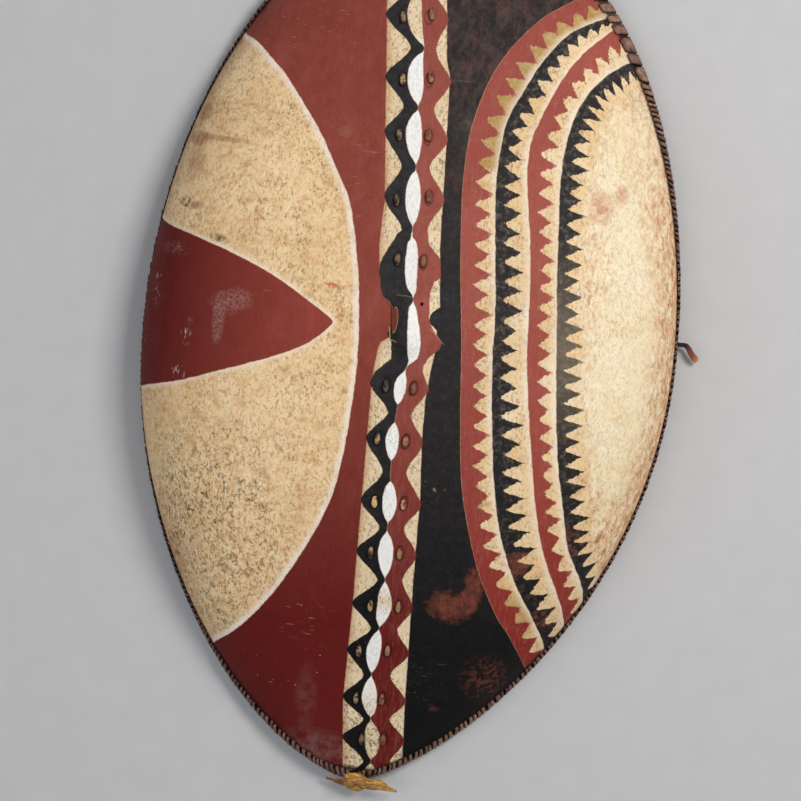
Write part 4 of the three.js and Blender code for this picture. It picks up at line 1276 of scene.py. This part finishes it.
def makeFootThong(finish):
    _, point, normal, outward = rimTable()
    base, up, out = point[0], normal[0], outward[0]
    frameAt = lambda p: base + np.array([1.0, 0, 0]) * p[0] - out * p[1] + up * p[2]
    rest = looseEnds["lacingThickness"] + looseEnds["gap"] + looseEnds["stripThickness"] / 2
    drop = -looseEnds["lacingThickness"] - looseEnds["gap"] - looseEnds["knotRadius"] / 2
    leaf = hideStrip([
        (-7, 12, rest - 0.4, 8, 2.4, 0.3, 0.8), (2, 9, rest + 1.2, 15, 2.4, -0.3, 3.0),
        (16, 5, rest + 0.8, 17, 2.2, 0.3, 3.6), (30, 1, rest, 14, 2.0, -0.25, 3.0),
        (42, -4, rest - 1.4, 9, 1.8, 0.2, 2.0), (51, -8, rest - 2.6, 2.0, 1.2, 0, 0.2)], 44)
    lobe = hideStrip([
        (-4, 8, rest + 0.6, 6, 2.0, 0, 0.5), (6, 1, rest + 0.4, 12, 2.0, 0.2, 1.8),
        (18, -5, rest - 1.0, 10, 1.8, 0.2, 1.6),
        (29, -8, rest - 2.4, 2.4, 1.2, 0, 0.2)], 26)
    fold = hideStrip([
        (-9, 13, rest + 0.8, 4, 2.0, 0, 0.4), (-7, 5, rest + 1.4, 12, 2.2, 0.25, 2.4),
        (-4, -4, rest - 0.8, 15, 2.2, 0.1, 2.2),
        (0, drop, rest - 6, 15, 2.4, -0.1, 1.2), (4, drop - 2, -1, 10, 2.6, 0, 0.6)], 30)
    knot = hideStrip([
        (12, drop + 1.5, 3, 7, 5.0, 0, 1), (5, drop - 0.5, 3.4, 12, 8.0, 0.2, 1.4),
        (-4, drop - 0.5, 2.8, 11, 7.5, -0.2, 1.2),
        (-11, drop, 1.2, 6, 4.5, 0, 0.6)], 22)
    tail = hideStrip([
        (-6, drop, 1, 7, 3.2, 0, 0.8), (-14, drop - 1, 0, 7.5, 2.8, 0.3, 1),
        (-24, drop, -1, 6.5, 2.4, -0.2, 0.8),
        (-34, drop + 2, -2, 2.4, 1.4, 0, 0.2)], 24)
    return joinStrips("foot_strip", [leaf, lobe, fold, knot, tail], frameAt, finish,
                      ["foot_thong"])


def makeSideThong(finish):
    row = float(np.degrees(np.arcsin(looseEnds["sideLine"] / face["halfLength"])))
    x, y, z = facePoint(row, 1.0)[0]
    root = x + looseEnds["lacingThickness"] + looseEnds["gap"]
    up = z + looseEnds["width"]
    stem, length, fall = looseEnds["stem"], looseEnds["length"], looseEnds["fall"]
    strip = hideStrip([
        (root - 1.5, y + 0.3, up - 0.4, 5.0, 2.6, 0, 0.3), (root + stem * 0.6, y + 0.6, up + 0.6, 5.6, 2.8,
                                                            0.3, 0.5),
        (root + stem, y - 1.5, up + 1, 6.2, 3.0, 0.1, 0.6), (root + stem + 5, y - fall * 0.5, up, 6.8, 2.8,
                                                             -0.3, 0.8),
        (root + length * 0.86, y - fall * 0.8, up - 0.6, 7.4, 2.4, -0.1, 0.6),
        (root + length, y - fall, up - 1, 4.0, 1.4, 0, 0.2)], 34)
    return joinStrips("side_strip", [strip], lambda p: p, finish, ["side_thong"])


def goldenHide():
    hide = Finish("golden hide")
    part = hide.field("part")
    fine = hide.noise(500, 4, 0.7)
    foldsShaded = hide.noise(120, 4, 0.6, hide.moved((1, 3.5, 1)), 0.6)
    # Painted shade in the hollows of the folds and painted highlight on their ridges, from the same noise as
    # the bump
    colour = hide.mix(tone("#7c4818"), tone("#e0a850"), (foldsShaded * 3.0 - 1.0).held())
    colour = hide.coat(colour, "#6a3c1c", part.above(0.8, 0.1) * 0.6)
    colour = hide.coat(colour, "#f0cf90", foldsShaded.above(0.62, 0.05) * 0.5)
    return hide.surface(colour, 0.45 + fine * 0.3, hide.height((foldsShaded, 0.0022), (fine, 0.0004)))


def sideHide():
    hide = Finish("dark hide end")
    run = hide.field("run")
    fine = hide.noise(450, 4, 0.7)
    slow = hide.noise(140, 3, 0.6)
    colour = hide.mix(tone("#1d100c"), tone("#7a3a20"), run.above(0.45, 0.12))
    colour = hide.coat(colour, "#c08048", run.above(0.74, 0.1) * (slow * 2 - 0.3).held())
    colour = hide.coat(colour, "#ead0a8", run.above(0.95, 0.04))
    return hide.surface(colour, 0.5 + fine * 0.3, hide.height((slow, 0.0012), (fine, 0.0004)))


makeFootThong(goldenHide())
makeSideThong(sideHide())
